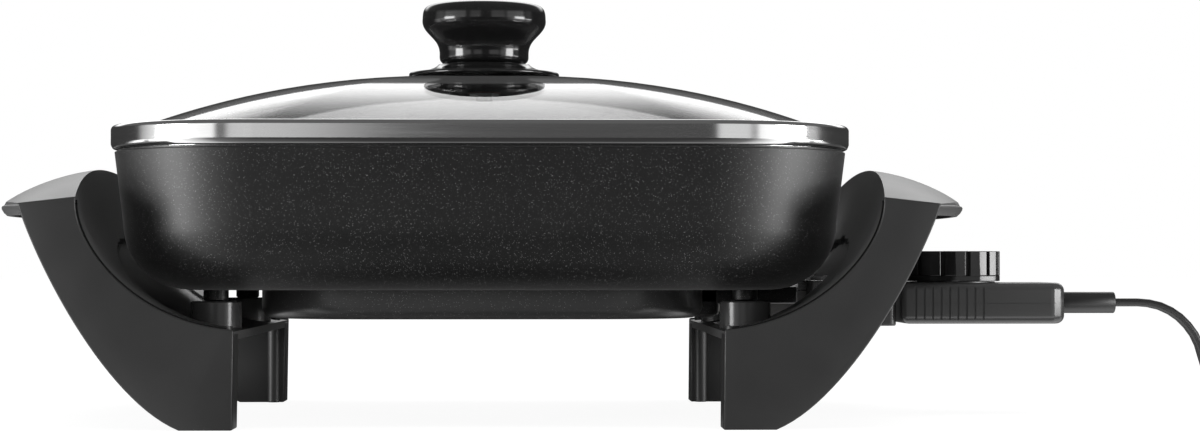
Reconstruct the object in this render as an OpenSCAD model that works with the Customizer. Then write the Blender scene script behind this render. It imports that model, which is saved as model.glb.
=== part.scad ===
// Electric skillet: cast pan, handles that are also the legs, lift-off glass
// lid and plug-in heat control. Millimetres, +Z up, the feet stand on z = 0,
// the right-hand handle and the heat control point along +X.

/* [Pan] */
// Length of the pan at its rim, outside
pan_length = 377.2; // [350:1:400]
// Depth of the pan at its rim, outside
pan_depth = 301; // [285:1:320]
// Height of the underside of the pan above the counter
pan_base_z = 68.3; // [64:0.5:76]
// Height of the pan from its underside to its rim
pan_height = 71.7; // [60:1:80]
// Corner radius of the pan at its rim, seen from above
pan_corner = 78.7; // [70:1:90]
// Wall thickness of the casting
pan_wall = 3.5; // [3:0.1:4.5]
// Thickness of the pan's floor
pan_floor = 4.2; // [3.6:0.1:6]
// Radius between the outside wall and the underside
pan_fillet = 34; // [24:1:38]
// How far the wall leans in over its whole height
pan_draft = 8.6; // [4:0.2:12]

/* [Heater] */
// Length of the cast-in heater rib, outside
rib_length = 235; // [210:1:240]
// Depth of the heater rib, outside
rib_depth = 176; // [150:1:190]
// Width of the rib
rib_width = 18; // [16:0.5:24]
// How far the rib hangs below the pan
rib_drop = 15.3; // [13:0.1:17]
// Radius of the heating tube
tube_r = 4; // [3:0.1:4.5]
// Distance between the two terminal pins
pin_spacing = 26; // [22:0.5:30]
// Radius of a terminal pin
pin_r = 2.4; // [2:0.1:2.8]
// How far the terminal pins stand out of their bushes
pin_reach = 32; // [24:1:36]
// Outer radius of a ceramic terminal bush
bush_r = 4.5; // [3.8:0.1:5]
// Length of a ceramic terminal bush
bush_length = 6; // [4:0.5:7]

/* [Probe guard] */
// How far the guard starts inside the rib's outer end
guard_start = 7.5; // [4:0.5:11]
// Length of the guard's solid block
guard_block = 16; // [12:1:20]
// Length of the whole guard
guard_length = 58; // [50:1:60]
// Depth of the guard, outside
guard_depth = 68; // [64:1:70]
// Thickness of the guard's side walls
guard_wall = 4; // [3:0.5:5]
// How far the guard's side walls hang below the pan
guard_drop = 8; // [6:0.5:10]

/* [Handles] */
// Depth of a handle over its front and rear plates
handle_depth = 292; // [284:1:296]
// Distance from the pan's centre to a leg's inner end
leg_inner_x = 120.3; // [119:0.1:123]
// Width of a foot along X
foot_width = 26; // [20:1:30]
// Depth of a leg
leg_depth = 23; // [22:1:34]
// Thickness of the front and rear plates
plate_wall = 3.5; // [2.5:0.1:4.5]
// Thickness of the web and of the grip
web_wall = 4.2; // [3.2:0.1:5]
// How far the web lies behind the plates' inner edges
web_set_back = 1; // [0.5:0.1:1.5]
// Height of the grip's inner edge at its ends
grip_end_z = 114.5; // [111:0.5:118]
// How far the grip rises to its middle
grip_crown = 17.8; // [12:0.2:20]
// Distance from the pan's rim to the grip's outer edge at its ends
grip_end_x = 38.1; // [34:0.1:42]
// Distance from the pan's rim to the plates' inner edges under the grip
grip_gap = 9.6; // [8:0.1:14]
// How far the grip's outer edge bows out at its middle
grip_bow = 29.4; // [24:0.1:34]
// Height of the lip along the grip's outer edge
lip_height = 5.4; // [5:0.1:8]
// How far the lip leans in towards its lower edge
lip_lean = 3; // [1:0.1:4]
// Depth of the arched recess in the web
recess_depth = 3; // [1:0.5:4]
// Half width of the arched recess
recess_half = 97; // [80:1:110]
// Height of the top of the arched recess
recess_top_z = 96; // [90:1:100]
// How far the left-hand handle leans out for each millimetre of height
lean_left = -0.014; // [-0.02:0.001:0.02]
// How far the right-hand handle leans out for each millimetre of height
lean_right = 0.01; // [-0.02:0.001:0.02]
// Thickness of the pan legs' walls
leg_wall = 3.2; // [2.4:0.1:4]

/* [Handle fixings] */
// Distance from the pan's centre to a fixing along X
fixing_x = 136.6; // [136:0.1:139]
// Distance from the pan's centre to a fixing along Y
fixing_y = 75; // [70:1:80]
// Radius of a stud under the pan
stud_r = 6.5; // [5.5:0.1:7.5]
// Height of a stud
stud_height = 5.9; // [5:0.1:8]
// Radius of a handle boss
boss_r = 13.2; // [11:0.1:14]
// Height of a handle boss
boss_height = 18.9; // [16:0.1:20]
// Radius of a handle screw's shank
screw_r = 2.45; // [2:0.05:2.8]
// Radius of a handle screw's head
screw_head_r = 4.6; // [4:0.1:5.4]
// Height of a handle screw's head
screw_head = 3; // [2.4:0.1:3.6]
// Depth of the counterbore in a handle boss
counterbore = 10.4; // [8:0.1:12]
// Radius of the locating post on a leg's inner side
post_r = 3.7; // [2.5:0.1:4]
// Height of a locating post above the counter
post_height = 50.5; // [50:0.5:52]

/* [Lid] */
// How far the lid's band stands out past the pan's rim
band_overhang = 1.9; // [1:0.1:3]
// Height of the band's face
band_height = 11.4; // [9:0.2:14]
// Thickness of the band's sheet metal
band_sheet = 0.8; // [0.6:0.1:1]
// Running gap between the pan's rim and the band
lid_gap = 0.3; // [0.2:0.1:0.5]
// Depth of the skirt that hangs inside the pan
skirt_drop = 6; // [4:0.5:8]
// Distance from the band's face to the skirt
skirt_inset = 8; // [7.5:0.1:9]
// Distance from the band's face to the edge of the glass
glass_inset = 5; // [4.5:0.1:6]
// Thickness of the glass
glass_thick = 4; // [3.5:0.1:5]
// Rise of the glass from its edge to its middle
glass_rise = 31.9; // [26:0.1:34]
// Width of the band's flange over the glass
flange_width = 9.5; // [8.5:0.1:11]

/* [Knob] */
// Largest radius of the knob
knob_r = 33.6; // [30:0.1:36]
// Radius of the knob's neck
knob_neck_r = 24.2; // [20:0.1:26]
// Radius of the skirt under the knob
knob_base_r = 40.9; // [38:0.1:44]
// Height of the skirt under the knob
knob_base_height = 6.9; // [6:0.1:8]
// Height of the knob above its skirt
knob_height = 32.9; // [30:0.1:38]
// Radius of the knob screw's shank
knob_screw_r = 2.45; // [2:0.05:2.8]
// Outer radius of the knob's threaded insert
insert_r = 5; // [4.2:0.1:6]
// Length of the knob's threaded insert
insert_length = 14; // [10:0.5:16]

/* [Heat control] */
// Distance from the pan's rim to the near end of the housing
control_start = 36; // [35:0.1:41]
// Length of the housing past its neck
control_length = 89; // [84:1:96]
// Width of the housing
control_width = 60; // [58:1:64]
// Height of the housing
control_height = 22.1; // [21:0.1:24]
// Height of the housing's underside above the lower ends of the handle bosses
control_base_z = 5.9; // [5:0.1:7]
// Corner radius of the housing, seen from above
control_corner = 9; // [6:0.5:12]
// Radius along the housing's top and bottom edges
control_edge = 5; // [3:0.2:6]
// Wall thickness of the housing
control_wall = 2.2; // [1.8:0.1:2.6]
// How far the snout reaches in under the pan's rim
snout_start = 14.6; // [12:0.1:17]
// Width of the snout
snout_width = 54; // [52:1:56]
// Height of the snout
snout_height = 24.4; // [24:0.1:25.5]
// Length of the neck between the snout and the housing
neck_length = 2.4; // [2:0.1:6]
// Distance from the guard's block to the nose block
nose_start = 14; // [12:0.5:16]
// Width of the nose block
nose_width = 40; // [38:0.5:42]
// Height of the nose block
nose_height = 14; // [12:0.5:15]
// Radius of the sensor tube
probe_r = 3.1; // [2.8:0.05:3.4]
// Distance from the pan's centre to the sensor's tip
probe_tip_x = 80; // [76:1:90]
// Running clearance of the sensor in its well
probe_play = 0.08; // [0.05:0.01:0.1]
// Wall of the sensor well
well_wall = 4; // [3:0.5:5]
// Number of grip grooves on each side of the housing
groove_count = 9; // [5:1:10]
// Distance from the housing's near end to the first groove
groove_start = 7.1; // [6:0.1:8]
// Pitch of the grip grooves
groove_pitch = 4.55; // [4:0.05:4.6]
// Width of a grip groove
groove_width = 1; // [0.6:0.1:1.4]
// Depth of a grip groove
groove_depth = 0.7; // [0.4:0.1:0.9]

/* [Dial] */
// Distance from the housing's near end to the dial's axis
dial_offset = 30.9; // [30:0.1:33]
// Radius of the dial over its corners
dial_r = 27; // [24:0.1:27]
// Height of the dial
dial_height = 16.3; // [14:0.1:18]
// Gap between the dial and the housing
dial_gap = 0.7; // [0.5:0.1:1]
// Number of flats round the dial, each with a finger slot
dial_slots = 12; // [8:1:16]
// Width of a finger slot
slot_width = 2.6; // [2:0.1:3]
// Depth of a finger slot
slot_depth = 2.6; // [2:0.1:3]
// Radius of the dial's spindle
spindle_r = 4; // [3.5:0.1:4.5]

/* [Cord] */
// Length of the strain relief outside the housing
relief_length = 31.9; // [26:0.1:36]
// Radius of the strain relief
relief_r = 5.4; // [5:0.1:6]
// Width of the flat twin cord
cord_width = 8.4; // [7.6:0.2:8.8]
// Thickness of the flat twin cord
cord_thick = 4.4; // [4:0.1:4.8]
// Number of turns in the coil
coil_turns = 2; // [2:1:2]
// Radius of the outermost turn
coil_r = 56; // [54:1:58]
// Distance between neighbouring turns
coil_pitch = 8.6; // [8.5:0.1:8.8]
// Length of the plug's body
plug_length = 38; // [32:1:42]
// Width of the plug's body
plug_width = 24; // [20:1:26]
// Thickness of the plug's body
plug_thick = 14; // [12:0.5:16]

/* [Hidden] */

$fn = 64;
eps = 0.01;

// The assembly's box is centred on the origin, so the pan stands off centre
rim_x = pan_length / 2;
control_x = rim_x + control_start;
control_end_x = control_x + control_length;
relief_end_x = control_end_x + relief_length;
grip_x = rim_x + grip_end_x;
grip_tip_z = grip_end_z - 2.4;
left_reach = grip_x + grip_bow + lean_left * grip_tip_z;
pan_x = (left_reach - relief_end_x) / 2;

pan_top_z = pan_base_z + pan_height;
rib_z = pan_base_z - rib_drop;
corner_steps = 10;
band_length = pan_length + 2 * band_overhang;
band_depth = pan_depth + 2 * band_overhang;
band_corner = pan_corner + band_overhang;
band_z = pan_top_z + lid_gap;
band_top_z = band_z + band_height;
flange_rise = 0.6;
glass_length = band_length - 2 * glass_inset;
glass_depth = band_depth - 2 * glass_inset;
glass_corner = band_corner - glass_inset;
glass_edge_z = band_top_z - 0.4;
glass_power = 2.3;
glass_flat = 0.953;
glass_top_z = glass_edge_z + glass_rise;
knob_z = glass_top_z + 0.1;
knob_hole_r = knob_screw_r + 1.6;

terminal_z = pan_base_z - 8.3;
guard_x = rib_length / 2 - guard_start;
guard_block_end = guard_x + guard_block;
guard_end = guard_x + guard_length;
well_bore_r = probe_r + probe_play;

stud_z = pan_base_z - stud_height;
boss_z = stud_z - boss_height;
web_end_z = boss_z + 5.7;
handle_half = handle_depth / 2;
head_seat_z = boss_z + counterbore;

housing_z = boss_z + control_base_z;
control_z = housing_z + control_height / 2;
snout_x = rim_x - snout_start;
snout_base_z = control_z - snout_height / 2;
snout_end_x = control_x - neck_length;
nose_x = guard_block_end + nose_start;
nose_z = terminal_z - nose_height / 2;
sleeve_end_x = snout_x + 12;
dial_x = control_x + dial_offset;
dial_z = housing_z + control_height + dial_gap;
cavity_z = housing_z + control_wall;
cavity_top_z = housing_z + control_height - control_wall;

// Points along a curve with four control points
function bezier(p, t) =
  pow(1 - t, 3) * p[0] + 3 * t * pow(1 - t, 2) * p[1]
  + 3 * t * t * (1 - t) * p[2] + pow(t, 3) * p[3];
function bezier_points(p, n) = [for (i = [0:n]) bezier(p, i / n)];

// A line of 2-D points moved sideways by d, to its right
function side_step(a, b, d) = let (v = b - a) d * [v[1], -v[0]] / norm(v);
function offset_line(p, d) = [
  for (i = [0:len(p) - 1])
    p[i] + side_step(p[max(i - 1, 0)], p[min(i + 1, len(p) - 1)], d)
];
function reversed(p) = [for (i = [len(p) - 1:-1:0]) p[i]];

// Ring of points round a rounded rectangle at height z
function rounded_ring(length, depth, corner, z) = [
  for (q = [0:3], i = [0:corner_steps])
    let (a = 90 * (q + i / corner_steps), sx = q == 0 || q == 3 ? 1 : -1, sy = q < 2 ? 1 : -1)
      [sx * (length / 2 - corner) + corner * cos(a), sy * (depth / 2 - corner) + corner * sin(a), z]
];

// Solid skin over rings with equal point counts, joined end to end or closed at its ends by
// one face, or by the given faces where a ring isn't convex
module skin(rings, looped = false, end_faces = []) {
  n = len(rings[0]);
  m = len(rings);
  ends = len(end_faces) > 0 ? end_faces : [[for (i = [0:n - 1]) i]];
  sides = [
    for (j = [0:m - (looped ? 1 : 2)], i = [0:n - 1])
      let (k = (j + 1) % m, h = (i + 1) % n)
        each [[j * n + i, k * n + i, k * n + h], [j * n + i, k * n + h, j * n + h]]
  ];
  caps = concat(ends, [for (f = ends) [for (i = reversed(f)) (m - 1) * n + i]]);
  polyhedron(points = [for (r = rings) each r], faces = concat(sides, looped ? [] : caps), convexity = 8);
}

// Exact 2-D rounded rectangle
module rounded_rect(length, depth, corner) {
  square([length - 2 * corner, depth], center = true);
  square([length, depth - 2 * corner], center = true);
  for (sx = [-1, 1], sy = [-1, 1])
    translate([sx * (length / 2 - corner), sy * (depth / 2 - corner)]) circle(r = corner);
}

// Block between two X positions, centred in Y
module x_block(x0, x1, width, z0, z1) {
  translate([x0, -width / 2, z0]) cube([x1 - x0, width, z1 - z0]);
}

// Rod along X
module x_rod(x0, x1, r, y, z) {
  translate([x0, y, z]) rotate([0, 90, 0]) cylinder(r = r, h = x1 - x0);
}

// Everything but the free cord is laid out from the pan's centre
module at_pan() {
  translate([pan_x, 0, 0]) children();
}

module at_fixings(sides) {
  for (sx = sides, sy = [-1, 1]) translate([sx * fixing_x, sy * fixing_y, 0]) children();
}

// ---- Pan ----

// Inset of the pan's outside wall at height z above its underside
function wall_inset(z) = pan_draft * (1 - z / pan_height);
function pan_ring(inset, z) =
  rounded_ring(pan_length - 2 * inset, pan_depth - 2 * inset, pan_corner - inset, pan_base_z + z);
// Inside and outside corners run round the same quarter circle
function fillet_rings(inset, r, floor_z) = [
  for (i = [0:6])
    let (a = 15 * i) pan_ring(inset + r * (1 - sin(a)), floor_z + r * (1 - cos(a)))
];

module pan() {
  inner_r = pan_fillet - pan_wall;
  outer_inset = wall_inset(pan_fillet);
  inner_inset = wall_inset(pan_fillet + pan_floor - pan_wall) + pan_wall;
  color("#26272a") at_pan() difference() {
    union() {
      skin(concat(
        fillet_rings(outer_inset, pan_fillet, 0),
        [pan_ring(0, pan_height - 0.6), pan_ring(0.6, pan_height)],
        [pan_ring(pan_wall - 0.6, pan_height), pan_ring(pan_wall, pan_height - 0.6)],
        reversed(fillet_rings(inner_inset, inner_r, pan_floor))
      ));
      heater_rib();
      probe_guard();
      at_fixings([-1, 1]) translate([0, 0, stud_z]) cylinder(r = stud_r, h = stud_height + 1);
    }
    element_path(tube_r);
    terminal_holes();
    x_rod(probe_tip_x - 2, guard_end, well_bore_r, 0, terminal_z);
    at_fixings([-1, 1]) translate([0, 0, stud_z - eps]) cylinder(r = screw_r + 0.05, h = stud_height + 2);
  }
}

module heater_rib() {
  rib_corner = 60;
  translate([0, 0, rib_z]) linear_extrude(rib_drop + 1) difference() {
    rounded_rect(rib_length, rib_depth, rib_corner);
    rounded_rect(rib_length - 2 * rib_width, rib_depth - 2 * rib_width, rib_corner - rib_width);
  }
}

module probe_guard() {
  block_drop = 14.1;
  well_half = well_bore_r + well_wall;
  difference() {
    union() {
      x_block(guard_x, guard_block_end, guard_depth, pan_base_z - block_drop, pan_base_z + 1);
      x_block(guard_x, guard_end, guard_depth, pan_base_z - guard_drop, pan_base_z + 1);
    }
    x_block(guard_block_end, guard_end + 1, guard_depth - 2 * guard_wall, rib_z, pan_base_z);
  }
  x_block(probe_tip_x - 6, guard_block_end, 2 * well_half, terminal_z - well_half, pan_base_z + 1);
}

module terminal_holes() {
  for (sy = [-1, 1])
    x_rod(guard_block_end - bush_length, guard_block_end + 1, bush_r, sy * pin_spacing / 2, terminal_z);
}

// Centre line of the heating tube: a rounded rectangle whose two ends turn out to the terminals
module element_path(r) {
  half_x = rib_length / 2 - rib_width / 2;
  half_y = rib_depth / 2 - rib_width / 2;
  bend = 51;
  turn = 9;
  end_y = pin_spacing / 2;
  translate([0, 0, terminal_z]) for (sy = [-1, 1]) mirror([0, sy < 0 ? 1 : 0, 0]) {
    x_run(-half_x + bend, half_x - bend, half_y, r);
    for (sx = [-1, 1])
      translate([sx * (half_x - bend), half_y - bend, 0])
        rotate([0, 0, sx > 0 ? 0 : 90]) rotate_extrude(angle = 90) translate([bend, 0]) circle(r = r);
    y_run(-half_x, -eps, half_y - bend, r);
    y_run(half_x, end_y + turn, half_y - bend, r);
    translate([half_x + turn, end_y + turn, 0])
      rotate([0, 0, 180]) rotate_extrude(angle = 90) translate([turn, 0]) circle(r = r);
    x_run(half_x + turn, guard_block_end - bush_length, end_y, r);
  }
}

module x_run(x0, x1, y, r) {
  x_rod(x0, x1, r, y, 0);
}

module y_run(x, y0, y1, r) {
  translate([x, y0, 0]) rotate([-90, 0, 0]) cylinder(r = r, h = y1 - y0);
}

module heating_element() {
  color("#8f8a84") at_pan() element_path(tube_r);
}

module terminal_bushes() {
  color("#e8e2d4") at_pan() for (sy = [-1, 1]) difference() {
    x_rod(guard_block_end - bush_length, guard_block_end + 1.5, bush_r, sy * pin_spacing / 2, terminal_z);
    x_rod(guard_block_end - bush_length - 1, guard_block_end + 2, pin_r, sy * pin_spacing / 2, terminal_z);
  }
}

module terminal_pins() {
  color("#c9ccd0") at_pan() for (sy = [-1, 1])
    x_rod(guard_block_end - bush_length, guard_block_end + pin_reach, pin_r, sy * pin_spacing / 2, terminal_z);
}

// ---- Handles ----

// Inner and outer edges of the front and rear plates, in the XZ plane
plate_x = rim_x + grip_gap;
plate_inner = [[plate_x, grip_end_z], [plate_x + 2.5, grip_end_z - 22.5], [plate_x - 28.7, web_end_z + 3.3],
  [leg_inner_x, web_end_z]];
plate_outer = [[leg_inner_x + foot_width, 0], [leg_inner_x + foot_width + 37.2, 15.4], [grip_x - 8, grip_end_z - 29.5],
  [grip_x, grip_tip_z - 0.8]];

// The grip and web run between the plates and stay just inside the plates' outline there
span_half = handle_half - plate_wall - 0.5;
function crown(y) = 1 - pow(min(1, abs(y) / span_half), 2.2);
function grip_crest(y) = plate_inner[0] + [0, -0.6] + crown(y) * [7.5, grip_crown + 0.6];
function grip_tip(y) = plate_outer[3] + [-2, -0.6] + crown(y) * [grip_bow + 2, 1.4];

web_steps = 12;
grip_steps = 6;

// Depth of the arched recess at a point of the web; its sides arch in above the middle height
recess_mid_z = web_end_z + 10.8;
recess_foot_z = web_end_z + 3.8;
function ramp(v) = min(1, max(0, v));
function recess(y, z) =
  let (s = max(0, z - recess_mid_z) / (recess_top_z - recess_mid_z))
    recess_depth * ramp((z - recess_foot_z) / 6) * ramp((recess_half * sqrt(max(0, 1 - s * s)) - abs(y)) / 5);

function web_line(y) =
  let (crest = grip_crest(y),
       top = [crest, [plate_inner[1][0] + 1.5 * crown(y), plate_inner[1][1]], plate_inner[2], plate_inner[3]],
       line = reversed(bezier_points(top, web_steps)))
    [for (i = [0:web_steps])
      line[i] + side_step(line[max(i - 1, 0)], line[min(i + 1, web_steps)],
        web_set_back + recess(y, line[i][1]))];

function grip_line(y) =
  let (crest = grip_crest(y), tip = grip_tip(y), run = tip - crest, lift = crown(y))
    bezier_points([crest, crest + 0.33 * run + [0, 5.4 * lift], crest + 0.76 * run + [0, 6 * lift], tip], grip_steps);

// One slice across the handle: up the web, out over the grip, down the lip and back underneath
function handle_slice(y, lean) =
  let (web = web_line(y), grip = grip_line(y), tip = grip_tip(y),
       under = offset_line(grip, web_wall), behind = offset_line(web, web_wall),
       section = concat(
         web,
         [for (i = [1:grip_steps]) grip[i]],
         [tip + [-lip_lean, -lip_height], tip + [-lip_lean - 3, -lip_height]],
         [for (i = [grip_steps - 1:-1:2]) under[i]],
         [for (i = [web_steps - 1:-1:0]) behind[i]]
       ))
    [for (p = section) [p[0] + lean * p[1], y, p[1]]];

slice_y = concat(
  [for (k = [3:-1:1]) recess_half + (span_half - recess_half) * k / 4],
  [recess_half, recess_half - 5],
  [for (k = [5:-1:1]) (recess_half - 5) * k / 6]
);

// A slice bends back on itself, so its end faces are rungs from its outer line to its inner line
slice_points = 2 * (web_steps + grip_steps) + 1;
slice_rungs = concat(
  [for (i = [0:web_steps - 1]) [i, slice_points - 1 - i]],
  [for (i = [0:1]) [web_steps + i, slice_points - web_steps]],
  [for (i = [2:grip_steps - 1]) [web_steps + i, slice_points - web_steps + 1 - i]],
  [for (i = [grip_steps:grip_steps + 2]) [web_steps + i, slice_points - web_steps + 2 - grip_steps]]
);
slice_faces = [
  for (i = [1:len(slice_rungs) - 1])
    let (a = slice_rungs[i - 1], b = slice_rungs[i])
      a[1] == b[1] ? [a[0], b[0], b[1]] : [a[0], b[0], b[1], a[1]]
];

function leaned(points, lean) = [for (p = points) [p[0] + lean * p[1], p[1]]];

// Handle for the +X side; cut_control opens the web for the heat control
module handle(lean, cut_control) {
  end_y = handle_half - plate_wall / 2;
  stations = concat([-end_y, -span_half], [for (y = slice_y) -y], [0], reversed(slice_y), [span_half, end_y]);
  difference() {
    union() {
      skin([for (y = stations) handle_slice(y, lean)], end_faces = slice_faces);
      for (sy = [-1, 1]) {
        plate(sy, lean);
        leg(sy, lean);
      }
      at_fixings([1]) translate([0, 0, boss_z]) cylinder(r = boss_r, h = boss_height);
      for (sy = [-1, 1])
        translate([leg_inner_x + 6, sy * (handle_half - leg_depth), 0]) cylinder(r = post_r, h = post_height);
    }
    at_fixings([1]) translate([0, 0, boss_z - eps]) {
      cylinder(r = screw_r + 0.35, h = boss_height + 1);
      cylinder(r = screw_head_r + 2, h = counterbore);
    }
    if (cut_control)
      x_block(leg_inner_x + 7, grip_x, guard_depth + 4, boss_z - 4, snout_base_z + snout_height + 3);
  }
}

module xz_prism(y0, y1) {
  translate([0, y1, 0]) rotate([90, 0, 0]) linear_extrude(y1 - y0) children();
}

module plate(sy, lean) {
  y0 = sy > 0 ? handle_half - plate_wall : -handle_half;
  xz_prism(y0, y0 + plate_wall)
    polygon(leaned(concat(bezier_points(plate_inner, 16), [[leg_inner_x, 0]], bezier_points(plate_outer, 16)), lean));
}

// Hollow leg, open underneath
module leg(sy, lean) {
  y0 = sy > 0 ? handle_half - leg_depth : -handle_half;
  edge = bezier_points(plate_outer, 16);
  inside = offset_line(edge, -leg_wall);
  top = web_end_z - 2;
  lower = [for (i = [0:16]) if (edge[i][1] < top) edge[i]];
  lower_inside = [for (i = [1:16]) if (inside[i][1] > 0 && inside[i][1] < top - 8) inside[i]];
  difference() {
    xz_prism(y0, y0 + leg_depth) intersection() {
      polygon(leaned(concat([[leg_inner_x, top], [leg_inner_x, 0]], lower, [[lower[len(lower) - 1][0] + 2, top]]), lean));
      polygon(leaned(concat(bezier_points(plate_inner, 16), [[leg_inner_x, 0]], edge), lean));
    }
    xz_prism(y0 + leg_wall, y0 + leg_depth - leg_wall)
      polygon(leaned(concat(
        [[leg_inner_x + leg_wall, top - leg_wall], [leg_inner_x + leg_wall, -1], [leg_inner_x + foot_width - leg_wall, -1]],
        lower_inside,
        [[lower_inside[len(lower_inside) - 1][0], top - leg_wall]]
      ), lean));
  }
}

module left_handle() {
  color("#2b2b2d") at_pan() mirror([1, 0, 0]) handle(lean_left, false);
}

module right_handle() {
  color("#2b2b2d") at_pan() handle(lean_right, true);
}

module handle_washers() {
  color("#b9bcc0") at_pan() at_fixings([-1, 1]) translate([0, 0, head_seat_z - 1]) difference() {
    cylinder(r = screw_head_r + 1.2, h = 0.95);
    translate([0, 0, -1]) cylinder(r = screw_r + 0.2, h = 3);
  }
}

module handle_screws() {
  color("#b9bcc0") at_pan() at_fixings([-1, 1]) translate([0, 0, head_seat_z - 1]) {
    difference() {
      translate([0, 0, -screw_head]) cylinder(r = screw_head_r, h = screw_head);
      for (a = [0, 90]) rotate([0, 0, a]) translate([-2.2, -0.5, -screw_head - eps]) cube([4.4, 1, 1.6]);
    }
    translate([0, 0, -eps]) cylinder(r = screw_r, h = pan_base_z - head_seat_z + 2.4);
  }
}

// ---- Lid ----

// The dome rises from a flat margin that the band holds
function glass_height(t) = glass_edge_z + glass_rise * (1 - pow(min(1, t / glass_flat), glass_power));
function glass_ring(t, z) = rounded_ring(t * glass_length, t * glass_depth, t * glass_corner, z);
glass_steps = [0.06, 0.16, 0.27, 0.38, 0.48, 0.58, 0.67, 0.75, 0.82, 0.88, 0.92, glass_flat, 1];

module lid_glass() {
  color("#8c9296", 0.4) at_pan() difference() {
    skin(concat(
      [for (t = glass_steps) glass_ring(t, glass_height(t) - glass_thick)],
      [for (t = reversed(glass_steps)) glass_ring(t, glass_height(t))]
    ));
    cylinder(r = knob_hole_r, h = glass_top_z + 5);
  }
}

function band_ring(inset, z) =
  rounded_ring(band_length - 2 * inset, band_depth - 2 * inset, band_corner - inset, z);

// Closed sheet-metal section: flange over the glass, face, hem on the rim, skirt inside the pan
module lid_band() {
  face = [
    [flange_width, band_top_z + flange_rise], [1.6, band_top_z + flange_rise], [0.4, band_top_z],
    [0, band_top_z - 1.2],
    [0, band_z + 1.2], [1, band_z], [skirt_inset - band_sheet, band_z],
    [skirt_inset - band_sheet, band_z - skirt_drop]
  ];
  back = [
    [skirt_inset, band_z - skirt_drop], [skirt_inset, band_z + band_sheet],
    [1.2, band_z + band_sheet], [band_sheet, band_z + 1.5], [band_sheet, band_top_z - 1.3],
    [1.7, band_top_z + flange_rise - 0.75], [flange_width, band_top_z + flange_rise - 0.75]
  ];
  color("#c8cacc") at_pan()
    skin([for (p = reversed(concat(face, back))) band_ring(p[0], p[1])], looped = true);
}

module lid_seal() {
  seal_z = band_z + band_sheet;
  seal_top = glass_edge_z - glass_thick - 0.05;
  color("#3a3a3c") at_pan() difference() {
    translate([0, 0, seal_z]) linear_extrude(seal_top - seal_z)
      rounded_rect(band_length - 3, band_depth - 3, band_corner - 1.5);
    translate([0, 0, seal_z - 1]) linear_extrude(seal_top - seal_z + 2)
      rounded_rect(band_length - 2 * skirt_inset, band_depth - 2 * skirt_inset, band_corner - skirt_inset);
  }
}

// ---- Knob ----

module knob_base() {
  h = knob_base_height;
  color("#161617") at_pan() translate([0, 0, knob_z]) rotate_extrude($fn = 96)
    polygon([
      [knob_hole_r, 0], [knob_base_r - 0.6, 0], [knob_base_r, 0.6], [knob_base_r, 1.7],
      [knob_base_r - 0.8, 2.4], [knob_base_r - 4, 2.8], [knob_base_r - 8, 3.4],
      [knob_base_r - 11.5, 4.3], [knob_base_r - 14, 5.4], [knob_base_r - 16, h], [knob_hole_r, h]
    ]);
}

module knob() {
  z0 = knob_base_height + 0.05;
  h = knob_height;
  neck = bezier_points([[knob_neck_r - 2.2, 0.6], [knob_neck_r + 1.8, 2.4], [knob_neck_r - 1.2, 5.5],
    [knob_neck_r + 1, 10.5]], 7);
  flare = bezier_points([[knob_neck_r + 1, 10.5], [knob_neck_r + 3, 15.5], [knob_r + 1.1, 18.5], [knob_r, 25]], 8);
  rim = bezier_points([[knob_r, 25], [knob_r - 0.1, h - 1.8], [knob_r - 1.6, h - 0.1], [24, h]], 8);
  color("#161617") at_pan() translate([0, 0, knob_z + z0]) rotate_extrude($fn = 96) polygon(concat(
    [[insert_r, 0], [knob_neck_r - 3.4, 0]], neck, [for (i = [1:8]) flare[i]], [for (i = [1:8]) rim[i]],
    [[0, h - 0.4], [0, insert_length], [insert_r, insert_length]]
  ));
}

module knob_insert() {
  color("#b08d4a") at_pan() translate([0, 0, knob_z + knob_base_height + 0.05]) difference() {
    cylinder(r = insert_r, h = insert_length);
    translate([0, 0, -1]) cylinder(r = knob_screw_r + 0.05, h = insert_length + 2);
  }
}

module knob_washer(z, r, h) {
  at_pan() translate([0, 0, z]) difference() {
    cylinder(r = r, h = h);
    translate([0, 0, -1]) cylinder(r = knob_screw_r + 0.15, h = h + 2);
  }
}

washer_h = 1;
knob_screw_z = glass_top_z - glass_thick - 2 * washer_h - 0.1;

module knob_fibre_washer() {
  color("#6e2f22") knob_washer(knob_screw_z + washer_h, 9, washer_h);
}

module knob_steel_washer() {
  color("#b9bcc0") knob_washer(knob_screw_z, 8, washer_h);
}

module knob_screw() {
  color("#b9bcc0") at_pan() translate([0, 0, knob_screw_z]) {
    difference() {
      translate([0, 0, -3]) cylinder(r = 4.6, h = 3);
      translate([-2.4, -0.5, -3 - eps]) cube([4.8, 1, 1.4]);
    }
    translate([0, 0, -eps])
      cylinder(r = knob_screw_r, h = knob_z + knob_base_height + insert_length - knob_screw_z - 1);
  }
}

// ---- Heat control ----

module plan_rect(x0, x1, width, corner, z0, z1) {
  translate([(x0 + x1) / 2, 0, z0]) linear_extrude(z1 - z0) rounded_rect(x1 - x0, width, corner);
}

// The housing as one solid, shrunk by g on every face
module control_form(g) {
  z0 = housing_z + g;
  z1 = housing_z + control_height - g;
  mid = (control_x + control_end_x) / 2;
  intersection() {
    plan_rect(control_x + g, control_end_x - g, control_width - 2 * g, control_corner - g, z0, z1);
    translate([mid, 0, 0]) rotate([90, 0, 0]) linear_extrude(control_width, center = true)
      translate([0, control_z]) rounded_rect(control_length - 2 * g, control_height - 2 * g, control_edge - g);
  }
  plan_rect(snout_x + g, snout_end_x - g, snout_width - 2 * g, 4, snout_base_z + g, snout_base_z + snout_height - g);
  x_block(snout_end_x - g - 6, control_x + g + 12, snout_width - 6 - 2 * g, z0 + 1.2, z1 - 1.2);
}

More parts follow.
